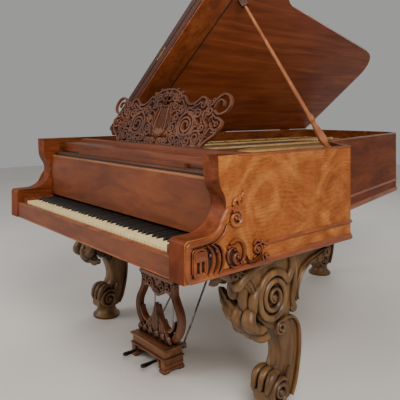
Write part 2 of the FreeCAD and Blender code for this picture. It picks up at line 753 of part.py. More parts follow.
flap_metal = []
for i in range(3):
    across = -600 + 500 * i
    axis_start = at(across, split, flap_axis)
    flap_leaf = Part.makeBox(100, 30, 1.5, at(across, split + 3, flap_low - 1.5))
    flap_knuckle = Part.makeCylinder(3, 100, axis_start, ACROSS)
    web = Part.makeBox(100, 4, 1.5, at(across, split, flap_axis + 1.5))
    flap_metal.append(flap_leaf.fuse([flap_knuckle, web]))
keep("flap_hinges", made("flap_hinges", raised_shape(Part.makeCompound(flap_metal))))

# ---- the prop stick ------------------------------------------------------------------------

# The stick points at a place on the lid and ends short of it, below a block whose face is square
# to the stick, so the stick can swing out from under the block.
aim = lid_lift.multVec(at(socket_x, SOCKET_DEPTH, lid_floor - SOCKET_DROP))
prop_base = at(567, 1050, 1045)
raised_way = (aim - prop_base).normalize()
PROP_CLEARANCE = 0.5
BLOCK_HEIGHT = 38
prop_length = (aim - prop_base).Length - BLOCK_HEIGHT
folded_way = Vector(-0.75, 0.66, 0)
prop_axis = raised_way.cross(folded_way).normalize()
prop_side = prop_axis.cross(raised_way)
fold_angle = math.degrees(raised_way.getAngle(folded_way))
PROP_THICK = 20
PROP_HALF = [(-20, 12, 10), (0, 22, 12), (60, 25, 40), (150, 14, 10), (172, 13), (prop_length, 9)]
prop_plan = PROP_HALF + [(c[0], -c[1]) + c[2:] for c in reversed(PROP_HALF)]
PROP_BORE = 5.05


def in_prop_frame(shape):
    """A shape drawn with X up the stick and Z along its hinge axis, put in its raised place."""
    matrix = FreeCAD.Matrix(raised_way.x, prop_side.x, prop_axis.x, prop_base.x,
                            raised_way.y, prop_side.y, prop_axis.y, prop_base.y,
                            raised_way.z, prop_side.z, prop_axis.z, prop_base.z, 0, 0, 0, 1)
    copy = shape.copy()
    copy.Placement = FreeCAD.Placement(matrix).multiply(copy.Placement)
    return copy


under_lid = raised_shape(Part.makeBox(400, 400, 100, at(socket_x - 200, SOCKET_DEPTH - 200, lid_floor - 100)))
block = in_prop_frame(Part.makeBox(120, 36, 36, Vector(prop_length + PROP_CLEARANCE, -18, -18))).common(under_lid)
raised_metal.append(block)
keep("lid_fittings", made("lid_fittings", Part.makeCompound(raised_metal)))

prop_face = Part.Face(Part.Wire([curve.toShape() for curve in outline(prop_plan)]))
prop_face.translate(Vector(0, 0, -PROP_THICK / 2))
prop = prop_face.extrude(UP * PROP_THICK)
prop = prop.cut(Part.makeCylinder(PROP_BORE, PROP_THICK * 2, Vector(0, 0, -PROP_THICK), UP))
keep("prop_stick", made("prop_stick", in_prop_frame(prop)))

# The bracket's pin reaches from a disc on the rim's side of the stick.
disc = Part.makeCylinder(16, 4, Vector(0, 0, -PROP_THICK / 2 - 4.5), UP)
prop_pin = Part.makeCylinder(5, PROP_THICK + 6, Vector(0, 0, -PROP_THICK / 2 - 4), UP)
bracket_top = in_prop_frame(disc.fuse([prop_pin]))
disc_centre = in_prop_frame(Part.Vertex(Vector(0, 0, -PROP_THICK / 2 - 2.5))).Point
post_floor = size("board_floor") + size("board_wall")
post = Part.makeBox(10, 18, disc_centre.z - post_floor + 6,
                    Vector(disc_centre.x - 4, disc_centre.y - 14, post_floor))
keep("prop_bracket", made("prop_bracket", bracket_top.fuse([post]).cut(
    in_prop_frame(Part.makeCylinder(27, PROP_THICK + 0.6, Vector(0, 0, -PROP_THICK / 2 - 0.3), UP).cut(
        Part.makeCylinder(5, PROP_THICK * 3, Vector(0, 0, -PROP_THICK), UP))))))

# ---- check and write -----------------------------------------------------------------------

doc.recompute()
for thing in doc.Objects:
    if "Invalid" in thing.State or "Error" in thing.State:
        raise RuntimeError("%s did not build" % thing.Label)
for piece in pieces:
    if piece.Shape.isNull() or not piece.Shape.isValid() or not piece.Shape.Solids:
        raise RuntimeError("%s has no valid solid" % piece.Label)

os.makedirs("parts", exist_ok=True)
whole = FreeCAD.BoundBox()
for piece in pieces:
    piece.Shape.exportStep("parts/%s.step" % piece.Label)
    whole.add(piece.Shape.BoundBox)

print("%d pieces" % len(pieces))
print("box", whole)
for name, value in (("lid hinge", hinge_line), ("prop base", prop_base), ("prop axis", prop_axis),
                    ("prop aim", aim), ("flap axis at the spine", lid_lift.multVec(at(0, split, flap_axis)))):
    print(name, "%.4f %.4f %.4f" % tuple(value))
print("prop fold", round(fold_angle, 2))
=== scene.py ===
import json
import math

import bmesh
import bpy
from mathutils import Matrix, Vector


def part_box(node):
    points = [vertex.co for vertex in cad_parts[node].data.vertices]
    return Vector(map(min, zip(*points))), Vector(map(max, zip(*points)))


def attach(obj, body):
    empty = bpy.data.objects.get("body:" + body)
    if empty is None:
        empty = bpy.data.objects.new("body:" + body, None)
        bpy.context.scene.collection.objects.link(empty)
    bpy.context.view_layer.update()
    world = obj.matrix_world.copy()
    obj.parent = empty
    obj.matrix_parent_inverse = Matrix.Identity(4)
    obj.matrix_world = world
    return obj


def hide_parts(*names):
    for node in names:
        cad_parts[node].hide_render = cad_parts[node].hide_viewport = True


scene = bpy.context.scene
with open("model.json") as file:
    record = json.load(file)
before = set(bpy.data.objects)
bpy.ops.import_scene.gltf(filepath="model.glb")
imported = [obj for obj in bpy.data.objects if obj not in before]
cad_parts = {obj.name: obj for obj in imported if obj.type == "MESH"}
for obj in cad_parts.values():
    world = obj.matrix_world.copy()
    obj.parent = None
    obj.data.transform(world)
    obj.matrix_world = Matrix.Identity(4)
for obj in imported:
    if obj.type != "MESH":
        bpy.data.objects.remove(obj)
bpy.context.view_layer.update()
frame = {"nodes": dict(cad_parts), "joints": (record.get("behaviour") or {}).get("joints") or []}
nodes = frame["nodes"]
joints = {joint["name"]: joint for joint in frame["joints"]}

MM = 0.001
MIDDLE = 15                            # keyboard centre along X, mm
FRONT = -1310                          # key slip's front face along Y, mm
CASE_HALF = 745


def at(across, depth, height):
    """A place given in mm from the keyboard's centre, the key slip and the floor."""
    return Vector(((across + MIDDLE) * MM, (depth + FRONT) * MM, height * MM))


def placed(name, data):
    """A new object in the scene."""
    thing = bpy.data.objects.new(name, data)
    scene.collection.objects.link(thing)
    return thing


# ---- materials -----------------------------------------------------------------------------

WHITE = (1, 1, 1, 1)
MIX_SHARE, MIX_FIRST, MIX_SECOND, MIX_RESULT = 0, 6, 7, 2    # a Mix node's share and colour sockets
TONE_STOPS = (0.3, 0.52, 0.72)         # where wood's three tones lie along its noise
CORNER_PLACE = (957 + FRONT) * MM      # where the bentside leaves the treble side
END_PLACE = (2 + FRONT) * MM           # just behind the arms' front ends
CASE_INSIDE = (-0.2, 0.0, 1.06)


def tone(red, green, blue):
    """A display colour, 0 to 255 a channel, as the linear colour a shader wants."""
    linear = []
    for value in (red, green, blue):
        share = value / 255
        linear.append(share / 12.92 if share <= 0.04045 else ((share + 0.055) / 1.055) ** 2.4)
    return (*linear, 1.0)


class Paint:
    """A material under construction: nodes are added and the Principled shader is fed."""

    def __init__(self, name, **finish):
        self.material = bpy.data.materials.new(name)
        self.material.use_nodes = True
        self.tree = self.material.node_tree
        self.shader = self.tree.nodes["Principled BSDF"]
        for socket, value in finish.items():
            self.shader.inputs[socket.replace("_", " ")].default_value = value
        self.where = self.add("TexCoord").outputs["Object"]

    def feed(self, socket, value):
        """Links another node's socket, or sets a value."""
        if isinstance(value, bpy.types.NodeSocket):
            self.tree.links.new(value, socket)
        else:
            socket.default_value = value

    def add(self, kind, sockets=(), **settings):
        node = self.tree.nodes.new("ShaderNode" + kind)
        for key, value in settings.items():
            setattr(node, key, value)
        for name, value in dict(sockets).items():
            self.feed(node.inputs[name], value)
        return node

    def noise(self, scale, detail, distortion, place=None, roughness=0.55):
        return self.add("TexNoise", {"Scale": scale, "Detail": detail, "Distortion": distortion,
                                     "Roughness": roughness, "Vector": place or self.where}).outputs["Fac"]

    def stretched(self, stretch):
        return self.add("Mapping", {"Scale": stretch, "Vector": self.where}).outputs["Vector"]

    def ramp(self, source, stops):
        node = self.add("ValToRGB", {"Fac": source})
        elements = node.color_ramp.elements
        while len(elements) < len(stops):
            elements.new(0.5)
        for element, (position, colour) in zip(elements, stops):
            element.position = position
            element.color = colour
        return node.outputs["Color"]

    def mix(self, first, second, share, blend="MIX"):
        return self.add("Mix", {MIX_SHARE: share, MIX_FIRST: first, MIX_SECOND: second}, data_type="RGBA",
                        blend_type=blend).outputs[MIX_RESULT]

    def shade(self, toned, source, stops, share=1.0):
        """The colour times a ramp of the source."""
        return self.mix(toned, self.ramp(source, stops), share, "MULTIPLY")

    def painted_hollow_shade(self, toned, reach, stops):
        """The colour darkened in its tight recesses, found by ambient occlusion: painted shade."""
        node = self.add("AmbientOcclusion", {"Distance": reach}, samples=8, only_local=False)
        return self.shade(toned, node.outputs["AO"], stops)

    def step(self, source, middle, width):
        """0 below the middle and 1 above it, with a soft change."""
        return self.add("MapRange", {"From Min": middle - width, "From Max": middle + width,
                                     "Value": source}).outputs["Result"]

    def axis(self, source, name):
        return self.add("SeparateXYZ", {"Vector": source}).outputs[name]

    def facing(self, way):
        """How far the surface looks along a direction."""
        normal = self.add("NewGeometry").outputs["Normal"]
        return self.add("VectorMath", {0: normal, 1: way}, operation="DOT_PRODUCT").outputs["Value"]

    def finish(self, toned, fine, distance, strength, rough=None):
        """Feeds the shader: rough is the lowest and highest roughness, and fine the surface's relief."""
        self.feed(self.shader.inputs["Base Color"], toned)
        if rough:
            spread = self.add("MapRange", {"To Min": rough[0], "To Max": rough[1], "Value": fine})
            self.feed(self.shader.inputs["Roughness"], spread.outputs["Result"])
        bump = self.add("Bump", {"Distance": distance, "Strength": strength, "Height": fine})
        self.feed(self.shader.inputs["Normal"], bump.outputs["Normal"])
        return self.material


def straight_tones(paint, tones, stretch, contrast=0.75):
    """Colour and fine grain of wood whose grain runs along the axis with the small stretch."""
    lines = paint.stretched(stretch)
    fine = paint.noise(7.0, 6, 0.5, lines, 0.65)
    stops = list(zip(TONE_STOPS, [tone(*display) for display in tones]))
    toned = paint.ramp(paint.noise(1.6, 3, 1.2, lines), stops)
    toned = paint.shade(toned, fine, [(0.35, (0.55, 0.5, 0.46, 1)), (0.62, WHITE)], contrast)
    clouds = [(0.3, (0.74, 0.7, 0.68, 1)), (0.7, (1.12, 1.1, 1.06, 1))]
    return paint.shade(toned, paint.noise(2.2, 3, 0.6), clouds, 0.8), fine


def burl_tones(paint):
    """Colour and fine grain of figured veneer: swirling patches with grain that flows round them."""
    dark, middle, light, gold = [tone(*display) for display in BURL_TONES]
    base = paint.ramp(paint.noise(5.0, 7, 2.4, None, 0.6), [(0.18, dark), (0.5, middle), (0.84, light)])
    glow = paint.ramp(paint.noise(3.0, 2, 2.6), [(0.46, (0, 0, 0, 1)), (0.72, (0.75, 0.75, 0.75, 1))])
    toned = paint.mix(base, gold, glow)
    curls = paint.add("TexWave", {"Scale": 20.0, "Distortion": 46.0, "Detail": 2.0, "Detail Scale": 0.13,
                                  "Vector": paint.where}, bands_direction="Z").outputs["Fac"]
    strength = paint.step(paint.noise(3.4, 2, 1.5), 0.6, 0.26)
    toned = paint.shade(toned, curls, [(0.0, (0.72, 0.66, 0.6, 1)), (0.6, (1.05, 1.04, 1.03, 1))], strength)
    fine = paint.noise(60.0, 5, 1.5, paint.stretched((0.35, 0.35, 1.6)), 0.6)
    return paint.shade(toned, fine, [(0.36, (0.6, 0.54, 0.48, 1)), (0.6, WHITE)], 0.6), fine


def wood(name, tones, stretch, gloss=0.35, coat=0.1, contrast=0.75, specular=0.3, hollow_shade_reach=0.0, edge=None):
    """Plain wood; hollow is the reach of painted shade in its carving's tight recesses, edge the colour of
    front and rear faces.
    """
    paint = Paint(name, Coat_Weight=coat, Coat_Roughness=0.3, Specular_IOR_Level=specular)
    toned, fine = straight_tones(paint, tones, stretch, contrast)
    if hollow_shade_reach:
        # painted shade: the colour darkens in the carving's tight recesses
        toned = paint.painted_hollow_shade(toned, hollow_shade_reach, [(0.3, (0.1, 0.07, 0.055, 1)), (0.9, WHITE)])
    if edge:
        along = paint.axis(paint.add("TexCoord").outputs["Normal"], "Y")
        either = paint.add("Math", {0: along}, operation="ABSOLUTE").outputs["Value"]
        toned = paint.mix(toned, tone(*edge), paint.step(either, 0.55, 0.1))
    return paint.finish(toned, fine, 0.0006, 0.3, (gloss - 0.08, gloss + 0.14))


def veneered(name, faced, inner_tones, inner_stretch, far_tones=None, end_tones=None):
    """Figured veneer where faced gives 1, with other wood behind the corner, at the ends and inside."""
    paint = Paint(name, Specular_IOR_Level=0.1)
    outer, fine = burl_tones(paint)
    inner = straight_tones(paint, inner_tones, inner_stretch)[0]
    along = paint.axis(paint.where, "Y")
    if end_tones:
        end = straight_tones(paint, end_tones, (3, 6, 2), 0.5)[0]
        inner = paint.mix(end, inner, paint.step(along, END_PLACE, 0.003))
    if far_tones:
        far = straight_tones(paint, far_tones, (5, 1.1, 9), 0.4)[0]
        outer = paint.mix(outer, far, paint.step(along, CORNER_PLACE, 0.006))
    return paint.finish(paint.mix(inner, outer, faced(paint)), fine, 0.0004, 0.25, (0.34, 0.56))


def out_along(way):
    """A share of 1 where the surface looks along the direction."""
    return lambda paint: paint.step(paint.facing(way), 0.6, 0.1)


def out_of_case(paint):
    """A share of 1 where the surface looks away from the inside of the case."""
    away = paint.add("VectorMath", {0: paint.where, 1: CASE_INSIDE}, operation="SUBTRACT").outputs["Vector"]
    return paint.step(paint.facing(away), 0.05, 0.02)


def plain(name, first, second, scale, roughness, metallic=0.0, bump=0.0004, hollow_shade_reach=0.0, coat=0.0):
    """An even finish with slight variation and a fine surface."""
    paint = Paint(name, Metallic=metallic, Coat_Weight=coat, Coat_Roughness=0.2)
    toned = paint.ramp(paint.noise(scale, 5, 0.8), [(0.3, tone(*first)), (0.7, tone(*second))])
    if hollow_shade_reach:
        # painted shade: the colour darkens in tight recesses
        toned = paint.painted_hollow_shade(toned, hollow_shade_reach, [(0.2, (0.15, 0.12, 0.1, 1)), (0.8, WHITE)])
    fine = paint.noise(scale * 14, 4, 0.2)
    return paint.finish(toned, fine, bump, 0.35, (roughness - 0.1, roughness + 0.1))


BURL_TONES = ((122, 66, 32), (156, 88, 44), (178, 106, 56), (198, 132, 70))
FRONT_TONES = ((102, 50, 25), (120, 61, 30), (134, 73, 37))
CHEEK_TONES = ((86, 39, 20), (120, 60, 33), (138, 74, 43))
INNER_TONES = ((84, 42, 20), (118, 64, 32), (138, 82, 44))
TAIL_TONES = ((98, 44, 18), (117, 56, 24), (132, 67, 30))
END_TONES = ((90, 40, 20), (118, 56, 30), (134, 70, 39))
ALONG_X = (0.8, 9, 20)
ALONG_Y = (6, 1.2, 9)
CASE = veneered("case_burl", out_of_case, INNER_TONES, (9, 1.2, 12), TAIL_TONES)
ARM_TREBLE = veneered("arm_treble_veneer", out_along((1, 0, 0)), CHEEK_TONES, ALONG_Y, end_tones=END_TONES)
ARM_BASS = veneered("arm_bass_veneer", out_along((-1, 0, 0)), CHEEK_TONES, ALONG_Y, end_tones=END_TONES)
FRONT_WOOD = wood("front_wood", FRONT_TONES, (2.2, 6, 9), 0.42, 0.08, 0.4)
EDGE_WOOD = wood("edge_wood", ((138, 80, 46), (168, 106, 64), (188, 128, 84)), ALONG_X, 0.3)
RAIL_WOOD = wood("rail_wood", ((88, 42, 22), (118, 60, 32), (136, 76, 44)), ALONG_X, 0.4, 0.1, 0.5)
SHELF_WOOD = wood("shelf_wood", ((74, 43, 28), (102, 62, 40), (120, 78, 54)), ALONG_X, 0.5, 0.05, 0.6)
CHEEK = wood("cheek_wood", CHEEK_TONES, ALONG_Y)
TRIM = wood("trim_wood", ((116, 56, 26), (150, 80, 38), (170, 100, 54)), (5, 1.4, 9), 0.32, 0.3)
# the carved woods below are darkened in their tight recesses: painted shade
CARVED_ARM = wood("arm_carving", ((118, 58, 26), (158, 84, 40), (182, 110, 60)),
                  (5, 1.4, 5), 0.32, 0.3, hollow_shade_reach=0.014)
CARVED = wood("carved_walnut", ((80, 56, 34), (114, 82, 48), (142, 106, 66)),
              (6, 6, 1.6), 0.4, 0.15, 0.6, hollow_shade_reach=0.03)
DESK_WOOD = wood("desk_wood", ((76, 42, 26), (106, 60, 37), (126, 77, 49)),
                 (2, 6, 6), 0.5, 0.0, 0.6, hollow_shade_reach=0.012)
LYRE_WOOD = wood("lyre_wood", ((88, 48, 28), (120, 72, 44), (142, 94, 60)),
                 (7, 7, 1.4), 0.32, 0.25, 0.6, 0.4, 0.03)
PLINTH_WOOD = wood("plinth_wood", ((96, 58, 34), (128, 80, 48), (150, 102, 66)),
                   (1.6, 7, 7), 0.4, 0.15, 0.6, 0.3, 0.03)
LID_WOOD = wood("lid_wood", ((112, 54, 32), (143, 74, 44), (161, 93, 57)), (9, 0.8, 9), 0.44, 0.08, 0.36, 0.2,
                edge=(64, 30, 16))
BATTEN_WOOD = wood("batten_wood", ((108, 50, 26), (142, 72, 38), (160, 90, 50)), (1.2, 9, 9), 0.4, 0.12, 0.6)
PROP_WOOD = wood("prop_wood", ((138, 80, 46), (168, 104, 62), (186, 124, 80)),
                 (9, 9, 1.2), 0.5, 0.0, 0.6, 0.2)
INNER_WOOD = wood("inner_wood", INNER_TONES, (5, 1.0, 12), 0.42)
HIDDEN_WOOD = wood("frame_timber", ((150, 118, 78), (184, 148, 102), (206, 172, 126)), (9, 1.2, 9), 0.6, 0.0)
# dark levers, where real ones are pale, standing in for the shade under the fallboard: painted shade
SHADED_LEVER_WOOD = wood("lever_wood_painted_shade", ((62, 42, 26), (84, 60, 38), (100, 74, 50)), (9, 1.2, 9), 0.6, 0.0)
SPRUCE = wood("spruce", ((176, 132, 78), (206, 162, 100), (222, 184, 124)), (34, 1.2, 34), 0.4, 0.3)
# a near-black brown for pieces that stand in for the shade in recesses and gaps: painted shade
PAINTED_SHADE_DARK = plain("dark_painted_shade", (30, 14, 8), (48, 24, 14), 30, 0.7)
GILT = plain("gilded_iron", (190, 152, 98), (220, 186, 130), 9, 0.42, 0.35, 0.0006)
BRASS = plain("brass", (176, 138, 70), (206, 168, 96), 16, 0.26, 1.0)
STEEL = plain("steel", (140, 140, 142), (176, 176, 178), 24, 0.24, 1.0)
# dark steel, with light flecks that stand in for glints along the braces: painted highlights
BRACE_STEEL_GLINTS = plain("brace_steel_painted_glints", (52, 47, 42), (150, 144, 136), 42, 0.26, 1.0)
BRONZE = plain("aged_bronze", (46, 27, 16), (68, 42, 25), 20, 0.5, 0.5)
DARK_METAL = plain("dark_metal", (34, 32, 30), (60, 56, 52), 20, 0.38, 0.8)
STRING_METAL = plain("string_metal", (150, 140, 120), (190, 176, 150), 30, 0.3, 1.0)
FELT = plain("red_felt", (140, 60, 52), (170, 84, 74), 40, 0.95, bump=0.0016)
HAMMER_FELT = plain("hammer_felt", (206, 196, 176), (228, 220, 204), 60, 0.95, bump=0.0012)
# the ivory darkens in the tight gaps between keys: painted shade
IVORY = plain("ivory", (236, 208, 148), (250, 230, 174), 22, 0.34, bump=0.0002, hollow_shade_reach=0.005, coat=0.08)
EBONY = plain("ebony", (5, 4, 4), (11, 9, 8), 60, 0.5, bump=0.0003)

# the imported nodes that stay, with their finishes
for material, names in (
        (CASE, "outer_rim"), (ARM_BASS, "arm_bass"), (ARM_TREBLE, "arm_treble"),
        (INNER_WOOD, "inner_rim desk_runners"), (FRONT_WOOD, "key_slip fallboard"),
        (RAIL_WOOD, "desk_tray key_blocks"), (SHELF_WOOD, "name_rail"),
        (HIDDEN_WOOD, "keybed case_braces pin_block key_frame action_frame soundboard_ribs"),
        (SPRUCE, "soundboard"), (GILT, "iron_plate"), (CHEEK, "bridges"), (STRING_METAL, "strings"),
        (STEEL, "tuning_pins rod_soft rod_sustain"), (HAMMER_FELT, "hammers"), (EBONY, "dampers"),
        (LID_WOOD, "lid_panel lid_flap"), (BRONZE, "lid_fittings"), (BRACE_STEEL_GLINTS, "lyre_braces"),
        (BRASS, "lid_hinges flap_hinges prop_bracket pedal_soft pedal_sustain")):
    for name in names.split():
        mesh = nodes[name].data
        if not mesh.materials:
            mesh.materials.append(material)
        for index in range(len(mesh.materials)):
            mesh.materials[index] = material


# ---- shapes --------------------------------------------------------------------------------

SHARP_ANGLE = math.radians(38)         # edges sharper than this are not shaded smooth


def between(t, first, middle, last):
    """A value that goes evenly from first to middle, which it reaches halfway, and on to last."""
    return first + (middle - first) * 2 * t if t < 0.5 else middle + (last - middle) * (2 * t - 1)


def shares(count):
    """Even steps from 0 to 1."""
    return [k / count for k in range(count + 1)]


def circle(sides):
    """The angles of the corners of a round section."""
    return [2 * math.pi * k / sides for k in range(sides)]


def heading(path, i):
    """The way a path in space runs at its point i."""
    return (Vector(path[min(i + 1, len(path) - 1)]) - Vector(path[max(i - 1, 0)])).normalized()


def smooth(points, steps, closed=False):
    """A curve through the points, as a finer run of points."""
    count = len(points)
    fine = []
    for i in range(count if closed else count - 1):
        before = points[(i - 1) % count] if closed or i > 0 else points[0]
        after = points[(i + 2) % count] if closed or i + 2 < count else points[-1]
        around = list(zip(before, points[i], points[(i + 1) % count], after))
        for step in range(steps):
            t = step / steps
            fine.append(tuple(
                0.5 * (2 * b + (c - a) * t + (2 * a - 5 * b + 4 * c - d) * t * t
                       + (3 * b - a - 3 * c + d) * t ** 3) for a, b, c, d in around))
    return fine if closed else fine + [tuple(points[-1])]


def spiral(across, up, radius, start, turns, core=0.2, steps=14, squash=1.0):
    """Points that wind inwards from the radius; turns is signed, start is in degrees."""
    points = []
    for t in shares(max(int(abs(turns) * steps), 4)):
        reach = radius * (1 - (1 - core) * t)
        angle = math.radians(start) + turns * 2 * math.pi * t
        points.append((across + reach * math.cos(angle) * squash, up + reach * math.sin(angle)))
    return points


# sections of a band, as (share of the half width, share of the rise)
CROWN = ((-1, 0), (-1, 0.45), (-0.82, 0.8), (-0.45, 1), (0.45, 1), (0.82, 0.8), (1, 0.45), (1, 0))
FLUTED = ((-1, 0), (-1, 0.6), (-0.85, 0.95), (-0.6, 0.95), (-0.3, 0.55), (0.3, 0.55), (0.6, 0.95),
          (0.85, 0.95), (1, 0.6), (1, 0))
FLAT = ((-1, 0), (-1, 0.8), (-0.8, 1), (0.8, 1), (1, 0.8), (1, 0))
ROUND = ((-1, 0), (-0.92, 0.38), (-0.7, 0.7), (-0.38, 0.92), (0, 1), (0.38, 0.92), (0.7, 0.7), (0.92, 0.38),
         (1, 0))


class Shape:
    """Collects solids into one mesh."""

    def __init__(self):
        self.mesh = bmesh.new()

    def skin(self, rings):
        """A skin over rings of points with the same count, closed at both ends."""
        rows = [[self.mesh.verts.new(point) for point in ring] for ring in rings]
        for row, following in zip(rows, rows[1:]):
            for j in range(len(row)):
                k = (j + 1) % len(row)
                self.mesh.faces.new((row[j], row[k], following[k], following[j]))
        self.mesh.faces.new(rows[0][::-1])
        self.mesh.faces.new(rows[-1])

    def ribbon(self, path, half, rise, place, section=CROWN, base=0.0):
        """A band along a flat path: half is its half width, or (start, middle, end) widths."""
        widths = half if isinstance(half, tuple) else (half, half, half)
        rings = []
        for i, (x, y) in enumerate(path):
            before, after = path[max(i - 1, 0)], path[min(i + 1, len(path) - 1)]
            run = Vector((after[0] - before[0], after[1] - before[1]))
            if run.length == 0:
                run = Vector((1, 0))
            run.normalize()
            width = between(i / (len(path) - 1), *widths)
            rings.append([place(x - run.y * width * s, y + run.x * width * s, base + rise * w)
                          for s, w in section])
        self.skin(rings)

    def tube(self, path, radii, sides, squash=(1, 1), side_way=Vector((1, 0, 0))):
        """A round or oval bar along a path in space; radii is one number or one for each point."""
        rings = []
        for i, point in enumerate(path):
            run = heading(path, i)
            across = (side_way - run * side_way.dot(run)).normalized()
            up = run.cross(across)
            radius = radii[i] if isinstance(radii, list) else radii
            rings.append([Vector(point) + across * radius * squash[0] * math.cos(a)
                          + up * radius * squash[1] * math.sin(a) for a in circle(sides)])
        self.skin(rings)

    def ball(self, centre, radius, stretch=(1, 1, 1)):
        size = Matrix.Diagonal((*[radius * share for share in stretch], 1))
        bmesh.ops.create_uvsphere(self.mesh, u_segments=12, v_segments=8, radius=1,
                                  matrix=Matrix.Translation(centre) @ size)

    def box(self, low, high, soften=0.0):
        """A block between two corners, with its edges taken off."""
        part = bmesh.new()
        size = Vector(high) - Vector(low)
        middle = (Vector(high) + Vector(low)) / 2
        bmesh.ops.create_cube(part, size=1, matrix=Matrix.Translation(middle) @ Matrix.Diagonal((*size, 1)))
        if soften:
            bmesh.ops.bevel(part, geom=part.edges[:], offset=soften, segments=2, profile=0.7, affect="EDGES")
        mesh = bpy.data.meshes.new("part")
        part.to_mesh(mesh)
        part.free()
        self.mesh.from_mesh(mesh)
        bpy.data.meshes.remove(mesh)

    def turned(self, centre, profile, sides=32):
        """A form turned about the upright axis through the centre, from (radius, height) points."""
        self.skin([[centre + Vector((radius * math.cos(a), radius * math.sin(a), height))
                    for a in circle(sides)] for radius, height in profile])

    def plate(self, outline, thickness, soften, place):
        """A flat plate with rounded edges; place maps its (x, y, z) in mm."""
        curve = bpy.data.curves.new("plate", "CURVE")
        curve.dimensions = "2D"
        curve.fill_mode = "BOTH"
        curve.extrude = thickness / 2 - soften
        curve.bevel_depth = soften
        curve.bevel_resolution = 2
        curve.offset = -soften
        spline = curve.splines.new("POLY")
        spline.points.add(len(outline) - 1)
        for target, (x, y) in zip(spline.points, outline):
            target.co = (x, y, 0, 1)
        spline.use_cyclic_u = True
        holder = placed("plate", curve)
        graph = bpy.context.evaluated_depsgraph_get()
        mesh = bpy.data.meshes.new_from_object(holder.evaluated_get(graph))
        for vertex in mesh.vertices:
            x, y, z = vertex.co
            vertex.co = place(x, y, z + thickness / 2)
        self.mesh.from_mesh(mesh)
        bpy.data.objects.remove(holder)
        bpy.data.curves.remove(curve)
        bpy.data.meshes.remove(mesh)

    def leaf(self, spine, widths, face, thick, lobes, curl=0.25, ribs=0.12):
        """A leaf along a spine in space: face points out of its front, and its edge is lobed."""
        rings = []
        for i, point in enumerate(spine):
            run = heading(spine, i)
            outward = (face - run * face.dot(run)).normalized()
            side = run.cross(outward)
            t = i / (len(spine) - 1)
            width = between(t, *widths) * (0.78 + 0.3 * abs(math.sin(math.pi * lobes * t)))
            row = []
            for s in [2 * share - 1 for share in shares(8)]:
                height = -curl * s * s + ribs * math.cos(3 * math.pi * s)
                row.append(Vector(point) + side * width * s + outward * width * height)
            lift = outward * thick / 2
            rings.append([point + lift for point in row] + [point - lift for point in reversed(row)])
        self.skin(rings)

    def piece(self, name, material, body, replaced=()):
        bmesh.ops.recalc_face_normals(self.mesh, faces=self.mesh.faces)
        mesh = bpy.data.meshes.new(name)
        self.mesh.to_mesh(mesh)
        self.mesh.free()
        mesh.materials.append(material)
        mesh.shade_smooth()
        mesh.set_sharp_from_angle(angle=SHARP_ANGLE)
        thing = placed(name, mesh)
        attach(thing, body)
        if replaced:
            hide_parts(*replaced)


# ---- camera, light, floor ------------------------------------------------------------------

camera_data = bpy.data.cameras.new("camera")
camera_data.sensor_width = 36
camera_data.lens = 45.35
camera_data.shift_x = 0.0365
camera_data.shift_y = -0.220
camera = placed("camera", camera_data)
camera.location = at(2000, -1045, 1225)
camera.rotation_euler = (math.radians(90), 0, math.radians(50.23))
scene.camera = camera

FLOOR_HALF = 9.0
floor_paint = Paint("pale_floor", Roughness=0.65, Coat_Roughness=0.2)
floor_tone = floor_paint.ramp(floor_paint.noise(0.8, 3, 0.3),
                              [(0.3, tone(214, 211, 206)), (0.7, tone(224, 221, 216))])
floor_paint.finish(floor_tone, floor_paint.noise(90, 4, 0.2), 0.0004, 0.2)
floor_mesh = bpy.data.meshes.new("floor")
floor_corners = [(x * FLOOR_HALF, y * FLOOR_HALF, 0) for x, y in ((-1, -1), (1, -1), (1, 1), (-1, 1))]
floor_mesh.from_pydata(floor_corners, [], [(0, 1, 2, 3)])
floor_mesh.materials.append(floor_paint.material)
floor = placed("floor", floor_mesh)

world = bpy.data.worlds.new("studio")
scene.world = world
world.use_nodes = True
background = world.node_tree.nodes["Background"]
background.inputs["Color"].default_value = (0.86, 0.85, 0.84, 1)
background.inputs["Strength"].default_value = 0.42


def soft_light(name, place, target, size, power, colour=(1, 1, 1)):
    """A square light in a place, turned to a target."""
    data = bpy.data.lights.new(name, "AREA")
    data.shape = "SQUARE"
    data.size = size
    data.energy = power
    data.color = colour
    light = placed(name, data)
    light.location = place
    light.rotation_euler = (Vector(target) - Vector(place)).to_track_quat("-Z", "Y").to_euler()


soft_light("key_light", (3.4, -2.6, 3.6), (0.1, -0.3, 0.8), 2.2, 210, (1, 0.95, 0.88))
soft_light("fill_light", (-2.6, -4.2, 2.6), (0, -0.8, 0.8), 2.6, 90, (1, 0.97, 0.94))
soft_light("back_light", (-2.2, 3.6, 3.6), (0, 0, 1.0), 2.6, 45)

# ---- music desk ----------------------------------------------------------------------------

desk_foot = at(0, 426, 1056)
DESK_LEAN = math.radians(21)
desk_up = Vector((0, math.sin(DESK_LEAN), math.cos(DESK_LEAN)))
desk_front = Vector((0, -math.cos(DESK_LEAN), math.sin(DESK_LEAN)))
DESK_WALL = 14                         # how thick the scrollwork is


def on_desk(across, up, out):
    return desk_foot + Vector((across * MM, 0, 0)) + desk_up * up * MM + desk_front * out * MM


def on_desk_left(across, up, out):
    return on_desk(-across, up, out)


